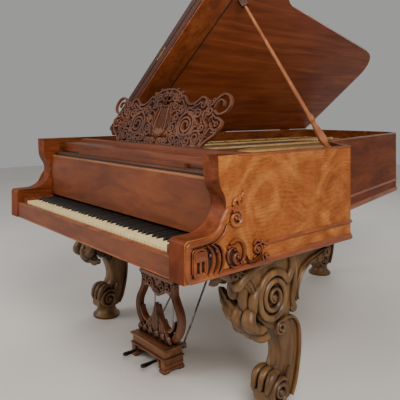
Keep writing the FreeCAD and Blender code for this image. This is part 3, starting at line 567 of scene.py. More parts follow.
BAND = 5.8
DESK_BANDS = [
    # the silhouette: crest, shoulder waves and the large ear
    ([(0, 299), (42, 296), (84, 280), (112, 258), (120, 236)], BAND),
    ([(112, 262), (134, 258), (150, 238), (176, 220), (206, 216), (236, 230), (262, 250), (292, 244),
      (304, 222)], BAND),
    ([(128, 238), (150, 214), (180, 198), (212, 196), (240, 208), (264, 224), (286, 216)], 5.5),
    ([(304, 222), (322, 206), (344, 214), (368, 240), (404, 262), (440, 252), (458, 220), (448, 188),
      (420, 170), (392, 168), (368, 184)], BAND),
    ([(362, 196), (372, 222), (394, 236), (414, 226), (418, 204)], (3, 5, 3)),
    # right side down to the foot
    ([(362, 168), (386, 150), (410, 146), (432, 128), (424, 102), (398, 92), (372, 104), (362, 126)], 6),
    ([(424, 102), (404, 70), (372, 48), (344, 24), (336, 8)], BAND),
    ([(372, 104), (352, 74), (338, 44), (330, 8)], 5),
    ([(324, 52), (344, 78), (340, 110), (318, 132), (300, 158), (306, 186)], 6),
    # the round medallion
    (spiral(196, 110, 58, 90, -2.3, 0.26, 20), 6.5),
    ([(138, 112), (150, 152), (182, 176), (222, 172), (250, 146), (258, 110), (246, 74), (216, 52), (180, 50),
      (150, 74), (138, 112)], 6.5),
    # leafy stems between the scrolls
    ([(128, 200), (112, 186), (84, 182), (64, 160), (70, 136)], (2, 5, 2)),
    ([(150, 168), (128, 166), (104, 176), (92, 196)], (2, 5, 2)),
    ([(146, 66), (118, 72), (100, 64), (90, 44), (98, 22)], (2, 5, 2)),
    ([(8, 236), (30, 238), (44, 262), (36, 284)], (2, 5, 3)),
    ([(84, 276), (92, 256), (84, 238), (66, 232)], (3, 5, 2)),
    ([(0, 262), (0, 240), (0, 222)], 5),
    ([(122, 120), (132, 96), (126, 72), (112, 66)], (3, 5, 2)),
    ([(84, 120), (72, 98), (76, 66), (92, 48)], (2, 5, 3)),
    ([(52, 40), (44, 24), (50, 10)], (3, 5, 3)),
    ([(96, 14), (120, 10), (146, 22), (150, 44)], (3, 5, 2)),
    ([(196, 58), (202, 36), (190, 12)], (3, 5, 3)),
    ([(210, 50), (230, 62), (252, 58), (262, 40)], (2, 5, 2)),
    ([(250, 14), (266, 8), (290, 14), (312, 10)], (3, 5, 3)),
    ([(206, 190), (228, 186), (244, 192), (262, 204)], (2, 5, 2)),
    ([(286, 150), (300, 134), (296, 112), (284, 96)], (3, 5, 2)),
    ([(306, 186), (320, 172), (322, 150), (312, 134)], (3, 5, 2)),
    ([(346, 132), (356, 150), (374, 154), (386, 146)], (3, 5, 2)),
    ([(318, 60), (330, 38), (320, 14)], (3, 5, 3)),
    ([(352, 112), (340, 92), (346, 66), (362, 56)], (3, 5, 2)),
    ([(366, 150), (382, 130), (398, 128), (412, 134)], (2, 4, 2)),
    ([(232, 158), (246, 176), (262, 178)], (2, 4, 2)),
    # the central lyre
    ([(0, 52), (24, 58), (40, 82), (42, 122), (33, 162), (31, 200), (44, 222), (58, 216)], 5.5),
    ([(60, 56), (72, 96), (68, 146), (52, 190), (60, 226)], 4.5),
    ([(52, 92), (60, 118), (54, 150)], (2, 4, 2)),
]
# scrolls: across, up, radius, start, turns, half width
DESK_SCROLLS = [
    (104, 238, 17, 10, 1.1, 5), (282, 212, 18, 60, -1.2, 5), (338, 182, 24, 90, 1.6, 5.5),
    (402, 116, 13, 0, 1.0, 4), (286, 52, 38, 200, -1.9, 6), (312, 102, 22, 90, 1.5, 5),
    (262, 168, 26, 190, -1.5, 5.5), (270, 116, 16, 100, 1.2, 5), (232, 34, 26, 120, 1.6, 5.5),
    (172, 26, 22, 60, -1.5, 5.5), (128, 44, 28, 20, 1.7, 5.5), (132, 190, 24, 250, 1.6, 5.5),
    (176, 186, 14, 0, 1.2, 4.5), (110, 146, 22, 300, -1.5, 5.5), (98, 96, 24, 80, 1.6, 5.5),
    (62, 252, 24, 200, -1.7, 5.5), (20, 272, 16, 60, 1.3, 5), (84, 212, 20, 100, 1.4, 5.5),
    (70, 22, 20, 180, -1.5, 5.5), (28, 24, 18, 0, 1.4, 5.5), (156, 206, 13, 180, 1.2, 4),
    (228, 210, 12, 0, -1.2, 4), (322, 226, 12, 200, 1.2, 4), (350, 232, 10, 0, 1.0, 4),
    (108, 276, 9, 0, 1.0, 4), (66, 296, 7, 0, 1.0, 3.5), (300, 30, 14, 0, 1.2, 4),
    (196, 10, 9, 0, 1.0, 3.5), (52, 212, 12, 0, 1.2, 4.5),
]
desk = Shape()
for points, half in DESK_BANDS + [(spiral(*winding), half) for *winding, half in DESK_SCROLLS]:
    for side in (on_desk, on_desk_left):
        desk.ribbon(smooth(points, 4), half, DESK_WALL, side, FLAT)
for across in (-21, -7, 7, 21):
    desk.ribbon([(across * 0.8, 78), (across, 208)], 2.2, 9, on_desk, ROUND, 2)
desk.ribbon([(-40, 214), (0, 208), (40, 214)], 5, DESK_WALL, on_desk)
lyre_foot = [(-24, 50), (24, 50), (34, 74), (18, 96), (0, 88), (-18, 96), (-34, 74)]
desk.plate(smooth(lyre_foot, 4, True), DESK_WALL, 2, on_desk)
desk.ribbon([(-340, 5), (340, 5)], 6, DESK_WALL, on_desk, FLAT)
desk.piece("desk_scrollwork", DESK_WOOD, "music_desk", ["music_desk"])

# ---- arms: edge moulding and carving -------------------------------------------------------


def on_treble(depth, height, out):
    return at(CASE_HALF + out, depth, height)


def on_bass(depth, height, out):
    return at(-CASE_HALF - out, depth, height)


CARVING = 13.5
edge_line = smooth([(206, 884), (190, 880), (172, 856), (156, 826), (130, 806), (98, 793), (60, 790),
                    (18, 789)], 6)
edge_line += smooth([(8, 782), (7, 700), (12, 676)], 5)
edge_line += smooth([(22, 670), (120, 670), (250, 670), (398, 668)], 5)
inner_line = smooth([(214, 838), (186, 832), (168, 804), (140, 786), (104, 775), (62, 772), (34, 771)], 6)
inner_line += [(26, 764), (25, 700), (28, 690)]
# points, half widths, rise and, where it is no crown, section
scrolls = [
    (spiral(226, 850, 33, 125, -1.45, 0.34, 18), (9, 8, 6), CARVING),
    ([(200, 884), (222, 892), (244, 884), (258, 866)], (3, 7, 3), 11),
    ([(214, 890), (218, 912), (236, 918), (240, 900)], (3, 8, 3), 11),
    ([(232, 912), (244, 924), (258, 922), (256, 908)], (3, 6, 2), 10),
    ([(250, 922), (262, 936), (268, 948)], (4, 4.5, 1.5), 9),
    # the slotted frame at the front
    ([(32, 764), (58, 770), (80, 762), (86, 730), (86, 700), (78, 684), (56, 678),
      (34, 682), (30, 720), (32, 764)], 4.5, 12),
    ([(37, 756), (37, 690)], 4, 10, FLAT),
    ([(58, 752), (58, 690)], 4.5, 10, FLAT),
    ([(79, 756), (79, 690)], 4, 10, FLAT),
    ([(33, 746), (83, 746)], 17, 12.5, FLAT),
    ([(36, 688), (58, 686), (80, 688)], 6, 10, FLAT),
    # acanthus ribs beside it
    ([(84, 778), (100, 766), (114, 744), (118, 716), (108, 690), (94, 676)], (2, 7, 3), CARVING),
    ([(104, 780), (124, 768), (140, 744), (144, 714), (134, 688), (118, 674)], (2, 6, 3), CARVING),
    ([(126, 780), (146, 768), (160, 746), (164, 716), (156, 690), (140, 674)], (2, 7, 3), CARVING),
    # the middle scroll
    ([(196, 764), (220, 774), (246, 770), (264, 752), (270, 728), (262, 702), (244, 690)],
     (3, 8, 5), CARVING),
    (spiral(234, 712, 22, 280, -0.9, 0.35), 6.5, 12),
    ([(184, 752), (202, 758), (222, 752), (230, 736)], (2, 6, 3), 11),
    ([(190, 700), (184, 724), (196, 746), (214, 752)], (3, 6, 2), 12),
    ([(196, 690), (216, 680), (240, 682), (262, 690)], (2, 6, 2), 11),
    # the rear scroll and its buds
    ([(272, 716), (284, 694), (304, 682), (330, 684), (350, 700), (356, 722)], (3, 6, 5), CARVING, FLUTED),
    (spiral(338, 724, 22, 330, 1.5), 5, 12),
    ([(316, 742), (330, 756), (346, 752), (352, 738)], (2, 6, 3), 12),
    ([(352, 744), (366, 746), (376, 738), (398, 738)], (5, 5, 4), 11),
    (spiral(390, 684, 15, 150, -1.4), 4.5, 12),
    ([(364, 700), (368, 682), (380, 672)], (2, 5, 3), 11),
]
buds = [  # depth, height, radius
    (226, 852, 9), (214, 902, 7), (246, 916, 6), (264, 944, 5), (103, 742, 7), (132, 752, 6), (237, 713, 8),
    (340, 724, 8), (362, 748, 7), (372, 728, 6), (390, 684, 5), (218, 742, 5), (318, 700, 5),
]
# dark plates behind the carving's open parts, standing in for the shade in its deep recesses: painted shade
shade_outlines = [
    [(30, 688), (80, 684), (88, 720), (84, 764), (40, 766), (30, 740)],
    [(88, 772), (128, 778), (150, 760), (156, 716), (136, 680), (100, 680), (92, 730)],
    [(188, 700), (204, 688), (226, 690), (230, 730), (214, 746), (192, 742)],
    [(318, 716), (336, 700), (352, 716), (352, 740), (334, 750), (320, 738)],
]
for word, place in (("treble", on_treble), ("bass", on_bass)):
    carving = Shape()
    carving.ribbon(edge_line, 11, 9, place)
    carving.ribbon(inner_line, 3.2, 7, place, ROUND)
    for points, half, rise, *section in scrolls:
        carving.ribbon(smooth(points, 5), half, rise, place, *section)
    for depth, height, radius in buds:
        carving.ball(place(depth, height, 12 - radius * 0.8), radius * MM)
    replaced = ["arm_carvings"] if word == "treble" else []
    carving.piece("arm_carving_" + word, CARVED_ARM, "case", replaced)
    # the dark plates behind the carving: painted shade
    shade_plates = Shape()
    for outline in shade_outlines:
        shade_plates.plate(smooth(outline, 4, True), 1.2, 0.3, place)
    shade_plates.piece("carving_painted_shade_" + word, PAINTED_SHADE_DARK, "case")

# ---- legs ----------------------------------------------------------------------------------

LEG_HALF = 50
LEG_ROUNDING = 8
LEG_PROFILE = smooth([
    (-288, 659), (338, 659), (338, 628), (310, 600), (262, 590), (190, 574), (130, 536), (90, 480), (74, 430),
    (66, 398), (100, 374), (116, 330), (120, 270), (108, 190), (84, 110), (60, 60), (-56, 60), (-76, 100),
    (-40, 150), (0, 196), (14, 240), (2, 296), (-30, 350), (-90, 384), (-130, 430), (-150, 500), (-190, 560),
    (-240, 592), (-282, 604)], 4, True)
LEG_SHAFT = smooth([(18, 400), (46, 352), (62, 290), (58, 220), (36, 150), (10, 96), (0, 60)], 4)

# bands on both faces: points, steps of the curve, half widths, rise, section, base
LEG_BANDS = [
    # the main volute
    ([(60, 650), (66, 600), (48, 560)] + spiral(-50, 496, 102, 30, 2.75, 0.13, 26, 0.92), 3, (17, 13, 5), 21,
     CROWN, -4),
    # the bracket behind, running out under the case
    ([(96, 452), (92, 482), (104, 524), (132, 566), (180, 596), (240, 612), (300, 628)], 5, (10, 15, 8), 17,
     FLUTED, -4),
    (spiral(300, 618, 24, 120, -1.6), 3, 7, 18, CROWN, -3),
    (spiral(262, 596, 15, 100, 1.4), 3, 5, 15, CROWN, -3),
    ([(66, 640), (84, 590), (80, 520), (70, 460), (80, 426)], 5, (5, 14, 12), 18, CROWN, -4),
    # the front ear
    ([(-148, 520), (-170, 566), (-214, 610), (-266, 640)], 5, (8, 14, 8), 15, FLUTED, -4),
    (spiral(-262, 626, 18, 80, 1.3), 3, 6, 14, CROWN, -3),
    # the small scroll, the knee and the shaft's raised rear edge
    (spiral(-6, 364, 30, 70, 1.6, 0.22)[::-1]
     + [(36, 396), (76, 386), (106, 346), (114, 280), (106, 200), (86, 120), (62, 74)], 4, (9, 8, 6), 18,
     CROWN, -4),
    # the foot's volute
    ([(44, 196), (30, 168)] + spiral(-14, 112, 54, 50, 1.9, 0.2, 22), 3, (8, 13, 6), 24, CROWN, -4),
]
# rolls where the volutes turn out of the faces: depth, height, radius, reach to each side
LEG_ROLLS = ((80, 424, 20, 50), (-276, 626, 17, 44), (-14, 112, 50, 48), (300, 616, 22, 46),
             (-6, 364, 26, 46))
# thick lobes that fall down the front: points (inwards, depth, height), and start, middle and end radii
LEG_LOBES = [
    ([(-26, -60, 640), (-30, -150, 632), (-32, -216, 600), (-30, -252, 560)], (26, 30, 24)),
    ([(32, -70, 630), (36, -146, 606), (34, -190, 556), (28, -200, 500)], (24, 30, 20)),
    ([(2, -96, 624), (2, -160, 584), (0, -176, 516), (-4, -154, 440)], (24, 30, 18)),
    ([(-34, -104, 560), (-38, -150, 530), (-40, -162, 490), (-36, -150, 452)], (16, 22, 16)),
    ([(-16, -136, 476), (-28, -168, 450), (-36, -176, 416), (-44, -138, 390), (-52, -98, 390)], (22, 32, 16)),
    ([(-6, -122, 404), (-20, -134, 370), (-34, -108, 348), (-46, -70, 356)], (18, 27, 16)),
    ([(26, -130, 480), (30, -166, 440), (30, -164, 396), (26, -120, 362)], (20, 29, 16)),
    ([(4, -136, 440), (2, -160, 404), (0, -140, 362), (0, -100, 340)], (18, 26, 16)),
]
# leaves that reach towards the middle of the piano: points, widths in m, thickness in m, lobes
LEG_LEAVES = [
    ([(30, -90, 640), (96, -120, 612), (168, -140, 556), (222, -142, 492)], (0.050, 0.056, 0.006), 0.014, 5),
    ([(4, -150, 402), (50, -172, 424), (104, -168, 462), (150, -150, 506)], (0.034, 0.042, 0.006), 0.018, 6),
    ([(20, -120, 400), (50, -136, 380), (84, -128, 366), (112, -110, 372)], (0.026, 0.030, 0.008), 0.016, 4),
    ([(40, -40, 640), (110, -44, 630), (180, -48, 606), (240, -60, 566)], (0.044, 0.040, 0.006), 0.014, 4),
]
PEDESTAL = [(0.078, 0.0), (0.080, 0.004), (0.079, 0.014), (0.070, 0.022), (0.060, 0.034), (0.054, 0.048),
            (0.056, 0.060), (0.050, 0.070)]


def swelling(count, *radii):
    """Radii in metres that go through a start, middle and end, with a rounded tip."""
    swollen = []
    for t in shares(count - 1):
        beyond = max(t - 0.8, 0) / 0.2
        swollen.append(between(t, *radii) * math.sqrt(max(1 - beyond * beyond, 0.03)) * MM)
    return swollen


def leg(name, across, foot_depth, inward, node):
    """A scrolled leg: a rounded shaft, volutes on both faces and leaves towards the middle."""
    def face(side):
        return lambda depth, height, out: at(across + side * (LEG_HALF - LEG_ROUNDING + out),
                                             foot_depth + depth, height)

    def inside(side, depth, height):
        return at(across + inward * side, foot_depth + depth, height)

    shape = Shape()
    shape.plate(LEG_PROFILE, 2 * (LEG_HALF - LEG_ROUNDING), 13,
                lambda x, y, z: at(across - LEG_HALF + LEG_ROUNDING + z, foot_depth + x, y))
    shape.tube([inside(0, *point) for point in LEG_SHAFT], 0.052, 24, (0.92, 1.0))
    for place in (face(1), face(-1)):
        for points, steps, half, rise, section, base in LEG_BANDS:
            shape.ribbon(smooth(points, steps), half, rise, place, section, base)
        shape.ball(place(-49, 494, 6), 0.016, (0.9, 1, 1))
        shape.ball(place(-14, 112, 12), 0.014)
    for depth, height, radius, reach in LEG_ROLLS:
        shape.tube([inside(inward * s * reach, depth, height) for s in (-1, -0.9, 0.9, 1)],
                   [radius * share * MM for share in (0.75, 1, 1, 0.75)], 24, side_way=Vector((0, 1, 0)))
    for points, radii in LEG_LOBES:
        path = [inside(*point) for point in smooth(points, 6)]
        shape.tube(path, swelling(len(path), *radii), 20, (1.05, 0.8))
    for points, widths, thick, lobes in LEG_LEAVES:
        shape.leaf([inside(*point) for point in smooth(points, 5)], widths,
                   Vector((0.25 * inward, -0.85, 0.35)), thick, lobes, 0.4, 0.14)
    # a leaf under the case, and three lobes over the foot's roll
    shape.leaf([inside(46 + 100 * t, -40, 648 - 70 * t * t) for t in shares(8)], (0.05, 0.04, 0.012),
               Vector((inward * 0.3, 0, -1)), 0.02, 2)
    for shift in (-32, 0, 32):
        points = [(shift, 4, 182), (shift * 1.1, -30, 184), (shift * 1.2, -62, 162), (shift * 1.1, -76, 112)]
        path = [inside(*point) for point in smooth(points, 5)]
        shape.tube(path, swelling(len(path), 10, 19, 12), 16, (1.0, 0.9))
    shape.turned(at(across, foot_depth, 0), PEDESTAL)
    shape.piece(name, CARVED, "case", [node])


leg("leg_carved_treble", 650, 540, -1, "leg_front_treble")
leg("leg_carved_bass", -650, 540, 1, "leg_front_bass")
leg("leg_carved_rear", -300, 2200, 1, "leg_rear")

# ---- lyre ----------------------------------------------------------------------------------

LYRE_BACK = 468
LYRE_FACE = Vector((0, -1, 0.1))


def on_lyre(across, height, out):
    return at(across, LYRE_BACK - out, height)


def mirrored(points, side):
    return [(side * x, z) for x, z in points]


lyre = Shape()
for side in (-1, 1):
    arm = smooth([(92, 112), (120, 140), (152, 178), (170, 226), (164, 272), (138, 316), (122, 350),
                  (118, 400)], 6)
    for points, half, rise, section, base in (
            (arm, (20, 19, 17), 36, ROUND, 1), (arm, 3.2, 7, ROUND, 33),
            (smooth([(40, 210), (64, 176), (96, 170), (128, 196), (142, 232)], 5), (4, 10, 4), 30, CROWN, 3),
            (smooth(spiral(60, 150, 26, 100, -1.4), 3), 7, 36, CROWN, 1),
            (smooth(spiral(96, 134, 18, 60, 1.3), 3), 6, 34, CROWN, 1),
            (smooth(spiral(46, 376, 24, 200, -1.5), 3), 5, 12, CROWN, 31),
            (smooth(spiral(96, 382, 20, 60, 1.4), 3), 5, 12, CROWN, 31),
            (smooth(spiral(16, 350, 14, 100, 1.2), 3), 5, 12, CROWN, 31),
            ([(70, 425), (70, 660)], 9, 34, FLUTED, 2), ([(90, 425), (90, 660)], 9, 34, FLUTED, 2)):
        lyre.ribbon(mirrored(points, side), half, rise, on_lyre, section, base)
    spine = [on_lyre(side * (10 + 88 * t), 232 - 92 * math.sin(1.5 * t), 32 + 5 * math.sin(3 * t))
             for t in shares(10)]
    lyre.leaf(spine, (0.012, 0.022, 0.006), LYRE_FACE, 0.012, 4)
    spine = [on_lyre(side * (14 + 34 * math.sin(2.2 * t)), 122 + 74 * t, 36 + 4 * math.sin(3 * t))
             for t in shares(10)]
    lyre.leaf(spine, (0.02, 0.022, 0.008), LYRE_FACE, 0.012, 4)
spine = [on_lyre(0, 120 + 168 * t, 30 + 10 * math.sin(3 * t)) for t in shares(12)]
lyre.leaf(spine, (0.03, 0.03, 0.004), LYRE_FACE, 0.02, 4)
# the foot and the head: right half of the outline, the tip between the halves, thickness, rounding
for right, tip, thick, soften in (
        ([(104, 118), (98, 150), (70, 172), (46, 196), (24, 234)], (0, 276), 24, 5),
        ([(130, 414), (134, 392), (118, 366), (104, 344), (70, 352), (40, 336)], (0, 318), 30, 6)):
    lyre.plate(smooth(right + [tip] + mirrored(right[::-1], -1), 4, True), thick, soften,
               lambda x, y, z: on_lyre(x, y, z + 4))
for across, radius, turns in ((-88, 20, 1.5), (-46, 22, -1.4), (0, 20, 1.4), (46, 22, 1.4), (88, 20, -1.5)):
    lyre.ribbon(smooth(spiral(across, 138, radius, 100, turns), 3), 5.5, 12, on_lyre, CROWN, 34)
for across in (-108, -66, -24, 24, 66, 108):
    spine = [on_lyre(across + across * 0.12 * t, 122 + 34 * t, 36 + 16 * math.sin(2.6 * t))
             for t in shares(8)]
    lyre.leaf(spine, (0.016, 0.018, 0.006), Vector((0, -1, 0.3)), 0.010, 2)
for across in range(-120, 121, 40):
    lyre.ball(on_lyre(across, 402, 34), 0.008)
lyre.box(at(-138, 426, 408), at(138, 470, 426), 0.004)
lyre.box(at(-104, 430, 640), at(104, 468, 660), 0.003)
lyre.piece("lyre_carved", LYRE_WOOD, "case", ["lyre_frame"])

plinth = Shape()
for half, front, back, low, high, soften in (
        (142, 374, 500, 104, 114, 0.003), (134, 382, 492, 112, 118, 0.002), (132, 384, 490, 66, 106, 0.002),
        (140, 376, 498, 58, 68, 0.003)):
    plinth.box(at(-half, front, low), at(half, back, high), soften)
# the feet: near and far place across, front, back, floor, top, softening
for side in (-1, 1):
    for near, far, front, back, low, high, soften in (
            (104, 135, 379, 407, 10, 60, 0.006), (98, 141, 375, 411, 0.5, 18, 0.006),
            (104, 135, 467, 495, 10, 60, 0.006), (98, 141, 463, 499, 0.5, 18, 0.006),
            (100, 136, 392, 486, 10, 62, 0.004), (96, 140, 386, 492, 8, 20, 0.003),
            (97, 139, 386, 492, 34, 41, 0.003)):
        left, right = sorted((side * near, side * far))
        plinth.box(at(left, front, low), at(right, back, high), soften)
    plinth.ribbon(mirrored(smooth([(98, 20), (88, 44), (60, 56), (20, 60)], 5), side), (4, 6, 4), 12,
                  lambda x, z, w: at(x, 388 - w, z))
plinth.tube([at(-118, 450, 48), at(118, 450, 48)], 0.004, 12, side_way=Vector((0, 1, 0)))
plinth.piece("lyre_plinth", PLINTH_WOOD, "case", ["pedal_box"])

# the pedals: depth, half width, underside and top along each lever
PEDAL_STATIONS = ((291, 6, 40, 48), (294, 13, 38.5, 50), (306, 17, 38.5, 51), (324, 15, 39, 51),
                  (346, 10, 40, 52), (400, 9, 42.5, 53.5), (488, 9, 43, 54), (491, 7, 44, 53))
for word, across in (("soft", -75), ("sustain", 75)):
    pedal = Shape()
    pedal.skin([[at(across + half * math.cos(a), depth, (low + high) / 2 + (high - low) / 2 * math.sin(a))
                 for a in circle(16)] for depth, half, low, high in PEDAL_STATIONS])
    pedal.piece("pedal_lever_" + word, DARK_METAL, "pedal_" + word, ["pedal_" + word])

# ---- mouldings round the case --------------------------------------------------------------

# corners of the case from above: across, depth, radius
CASE_PLAN = [(CASE_HALF, 957, 0), (440, 1246, 250), (140, 2618, 250), (-CASE_HALF, 2618, 0)]


def rounded(corners, steps=14):
    """Plan points along straight runs and arcs, from (across, depth, radius) corners."""
    points = [corners[0][:2]]
    for before, corner, after in zip(corners, corners[1:], corners[2:]):
        here = Vector(corner[:2])
        into = (here - Vector(before[:2])).normalized()
        away = (Vector(after[:2]) - here).normalized()
        radius = corner[2]
        turn = into.angle(away)
        if not radius:
            points.append(corner[:2])
            continue
        run = radius * math.tan(turn / 2)
        side = 1 if into.cross(away) > 0 else -1
        centre = here - into * run + Vector((-into.y, into.x)) * radius * side
        start = here - into * run - centre
        for step in range(steps + 1):
            angle = side * turn * step / steps
            points.append((centre.x + start.x * math.cos(angle) - start.y * math.sin(angle),
                           centre.y + start.x * math.sin(angle) + start.y * math.cos(angle)))
    points.append(corners[-1][:2])
    return points


def moulding(shape, path, section):
    """Sweeps an (outward, height) section along a plan path, mitred at its corners."""
    rings = []
    for i, (x, y) in enumerate(path):
        here = Vector((x, y))
        into = (here - Vector(path[i - 1])).normalized() if i else (Vector(path[1]) - here).normalized()
        away = (Vector(path[i + 1]) - here).normalized() if i + 1 < len(path) else into
        first = Vector((into.y, -into.x))
        second = Vector((away.y, -away.x))
        mitre = (first + second).normalized()
        mitre /= max(mitre.dot(first), 0.3)
        rings.append([at(x + mitre.x * out, y + mitre.y * out, height) for out, height in section])
    shape.skin(rings)


def case_run(start):
    """The case's outline, from a depth on the treble side round to the same depth on the bass side."""
    return rounded([(CASE_HALF, start, 0)] + CASE_PLAN + [(-CASE_HALF, start, 0)])


BASE_SECTION = ((-2, 688), (1.5, 688), (2.5, 684), (5.5, 680), (7.6, 674), (8, 668), (7, 663),
                (4.5, 660.3), (-2, 660.3))
BEAD_SECTION = ((-2, 747), (2, 747), (2.6, 745), (5.2, 743.4), (7.4, 740), (7.4, 737), (5.2, 733.6),
                (2.6, 732), (-2, 731))
trim = Shape()
moulding(trim, case_run(401), BASE_SECTION)
moulding(trim, case_run(398), BEAD_SECTION)
trim.piece("case_trim", TRIM, "case", ["case_mouldings"])

top_edge = Shape()
EDGE_SECTION = ((-0.5, 1074.4), (-0.5, 1068), (1.2, 1068), (2.4, 1070), (2.4, 1073), (1.2, 1074.4))
moulding(top_edge, case_run(242), EDGE_SECTION)
top_edge.piece("rim_edge", TRIM, "case")

# ---- strips and gaps along the front -------------------------------------------------------

strip = Shape()
strip.box(at(-661, 190.2, 976), at(661, 211, 985.4), 0.003)
strip.piece("fallboard_strip", EDGE_WOOD, "fallboard")
strip = Shape()
strip.box(at(-664, -1.5, 734), at(664, 22, 740.5), 0.003)
strip.box(at(-664, -2.0, 660.4), at(664, 2, 668), 0.0025)
strip.piece("slip_edges", TRIM, "case")

# dark strips over the shelf beside the desk tray and along the shelf's front face, standing in for the shade
# in these gaps: painted shade
shade = Shape()
SHELF_HALF = 660
SHELF_TOP = 999
shelf_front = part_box("name_rail")[0][1]
for low, high in ((-SHELF_HALF, -443), (443, SHELF_HALF)):
    shade.box(at(low, 262.2, SHELF_TOP + 0.4), at(high, 263.6, 1006.6), 0.0003)
shade.box((at(-SHELF_HALF, 0, 0).x, shelf_front - 0.0006, 0.9864),
          (at(SHELF_HALF, 0, 0).x, shelf_front + 0.0004, 0.9935), 0.0002)
shade.piece("shelf_gap_painted_shade", PAINTED_SHADE_DARK, "case")

# ---- keys ----------------------------------------------------------------------------------

KEY_PITCH = 23.6
KEYS_LEFT = -26 * KEY_PITCH
HALF_GAP = 0.8
OCTAVE = 12
WHITE_STEPS = (0, 2, 4, 5, 7, 9, 11)
FIRST_STEP = 9                         # the lowest key is an A
LAST_KEY = 87
HEAD_BACK = 80.5
LEVER_BACK = 430
KEY_FLOOR = 722
IVORY_UNDERSIDE = 747.6
SHARP_LOW = 747
# a sharp's depth, top and half width along its length
SHARP_STATIONS = ((85.6, 750.5, 5.0), (86.4, 756, 5.0), (88.5, 760, 4.8), (92, 761.6, 4.6), (187, 762, 4.6),
                  (188.5, 761, 4.4))


def key_places(index):
    """A key's white head (None for a sharp) and its tail, as left and right places across."""
    octave, step = divmod(index + FIRST_STEP, OCTAVE)
    # the lowest key's octave starts five white keys to the left of it
    left = KEYS_LEFT + (octave * 7 - 5) * KEY_PITCH
    # the first five steps share the width of three white keys, the other seven that of four
    if step < 5:
        slot = 3 * KEY_PITCH / 5
        tail = left + step * slot
    else:
        slot = 4 * KEY_PITCH / 7
        tail = left + 3 * KEY_PITCH + (step - 5) * slot
    if step not in WHITE_STEPS:
        return None, (tail + HALF_GAP, tail + slot - HALF_GAP)
    head = left + WHITE_STEPS.index(step) * KEY_PITCH
    if index == LAST_KEY:
        slot = KEY_PITCH
    return (head + HALF_GAP, head + KEY_PITCH - HALF_GAP), (tail + HALF_GAP, tail + slot - HALF_GAP)


def is_white(index):
    return (index + FIRST_STEP) % OCTAVE in WHITE_STEPS


def make_keys(name, body, indices, node):
    """The tops of a group of keys, and the wooden levers under them."""
    white = is_white(indices[0])
    tops = Shape()
    levers = Shape()
    for index in indices:
        head, tail = key_places(index)
        if white:
            plan = [(head[0], 29.6), (head[1], 29.6), (head[1], HEAD_BACK), (tail[1], HEAD_BACK),
                    (tail[1], 188), (tail[0], 188), (tail[0], HEAD_BACK), (head[0], HEAD_BACK)]
            # corners that fall together are left out
            plan = [(x, y) for i, (x, y) in enumerate(plan)
                    if abs(x - plan[i - 1][0]) + abs(y - plan[i - 1][1]) > 0.2]
            tops.plate(plan, 2.6, 0.6, lambda x, y, z: at(x, y, IVORY_UNDERSIDE + z))
            tops.box(at(head[0] + 0.2, 30.2, KEY_FLOOR + 0.3), at(head[1] - 0.2, 32.5, 748), 0.0004)
            levers.box(at(head[0] + 0.3, 32.5, KEY_FLOOR), at(head[1] - 0.3, 80, IVORY_UNDERSIDE))
            levers.box(at(tail[0] + 0.2, 80, KEY_FLOOR), at(tail[1] - 0.2, LEVER_BACK, 747.7))
        else:
            middle = (tail[0] + tail[1]) / 2
            rings = []
            for depth, high, half in SHARP_STATIONS:
                foot, shoulder, flat = half + 0.9, high - 1.4, half - 1.2
                rings.append([at(middle + x, depth, z) for x, z in (
                    (-foot, SHARP_LOW), (-half, shoulder), (-flat, high), (flat, high), (half, shoulder),
                    (foot, SHARP_LOW))])
            tops.skin(rings)
            levers.box(at(tail[0] + 0.2, 82, KEY_FLOOR), at(tail[1] - 0.2, LEVER_BACK, 747.4))
    cover, colour, slot = ("ivory", IVORY, "ivory_keys") if white else ("ebony", EBONY, "ebony_keys")
    tops.piece("%s_%s" % (name, cover), colour, body, [node])
    levers.piece(name + "_levers", SHADED_LEVER_WOOD, body)


NOTE_WORDS = ("c", "c_sharp", "d", "d_sharp", "e", "f", "f_sharp", "g", "g_sharp", "a", "a_sharp", "b")
FIRST_MIDDLE = 39                      # middle C, the first of the twelve keys that move one by one
for offset, word in enumerate(NOTE_WORDS):
    make_keys("key_" + word, "key_" + word, [FIRST_MIDDLE + offset], "key_" + word)
for word, span in (("bass", range(FIRST_MIDDLE)), ("treble", range(FIRST_MIDDLE + OCTAVE, LAST_KEY + 1))):
    for kind, wanted in (("naturals", True), ("sharps", False)):
        group = "%s_%s" % (word, kind)
        make_keys(group, group, [index for index in span if is_white(index) == wanted], group)

# ---- prop stick ----------------------------------------------------------------------------

prop_base = Vector(joints["prop_fold"]["pos_m"])
prop_axis = Vector(joints["prop_fold"]["axis"]).normalized()
prop_aim = Vector((0.1618, -0.425, 1.8136))      # the place under the lid that the stick points at
prop_way = (prop_aim - prop_base).normalized()
prop_side = prop_axis.cross(prop_way).normalized()
BLOCK_HEIGHT = 38                      # the stick ends below a block on the lid
PROP_LENGTH = (prop_aim - prop_base).length / MM - BLOCK_HEIGHT
# distance along the stick, half width and half depth
PROP_STATIONS = [(-19, 8, 7), (-14, 15, 9.4), (-2, 22, 9.8), (28, 25, 9.8), (40, 28, 15), (60, 28, 17.5),
                 (88, 24, 16), (120, 18, 12.5), (142, 15, 10), (148, 15, 10), (154, 19, 13.5),
                 (168, 19.5, 14), (184, 18, 13), (196, 13.4, 9.4), (PROP_LENGTH * 0.6, 11.6, 8.4),
                 (PROP_LENGTH - 16, 8.6, 7), (PROP_LENGTH, 7.6, 6.6)]
CORNER_CUT = 3.2
prop = Shape()
rings = []
for run, half, deep in PROP_STATIONS:
    wide, tall = half - CORNER_CUT, deep - CORNER_CUT
    rings.append([prop_base + (prop_way * run + prop_side * x + prop_axis * z) * MM for x, z in (
        (half, tall), (wide, deep), (-wide, deep), (-half, tall), (-half, -tall), (-wide, -deep),
        (wide, -deep), (half, -tall))])
prop.skin(rings)
prop.piece("prop_carved", PROP_WOOD, "prop", ["prop_stick"])
washer = Shape()
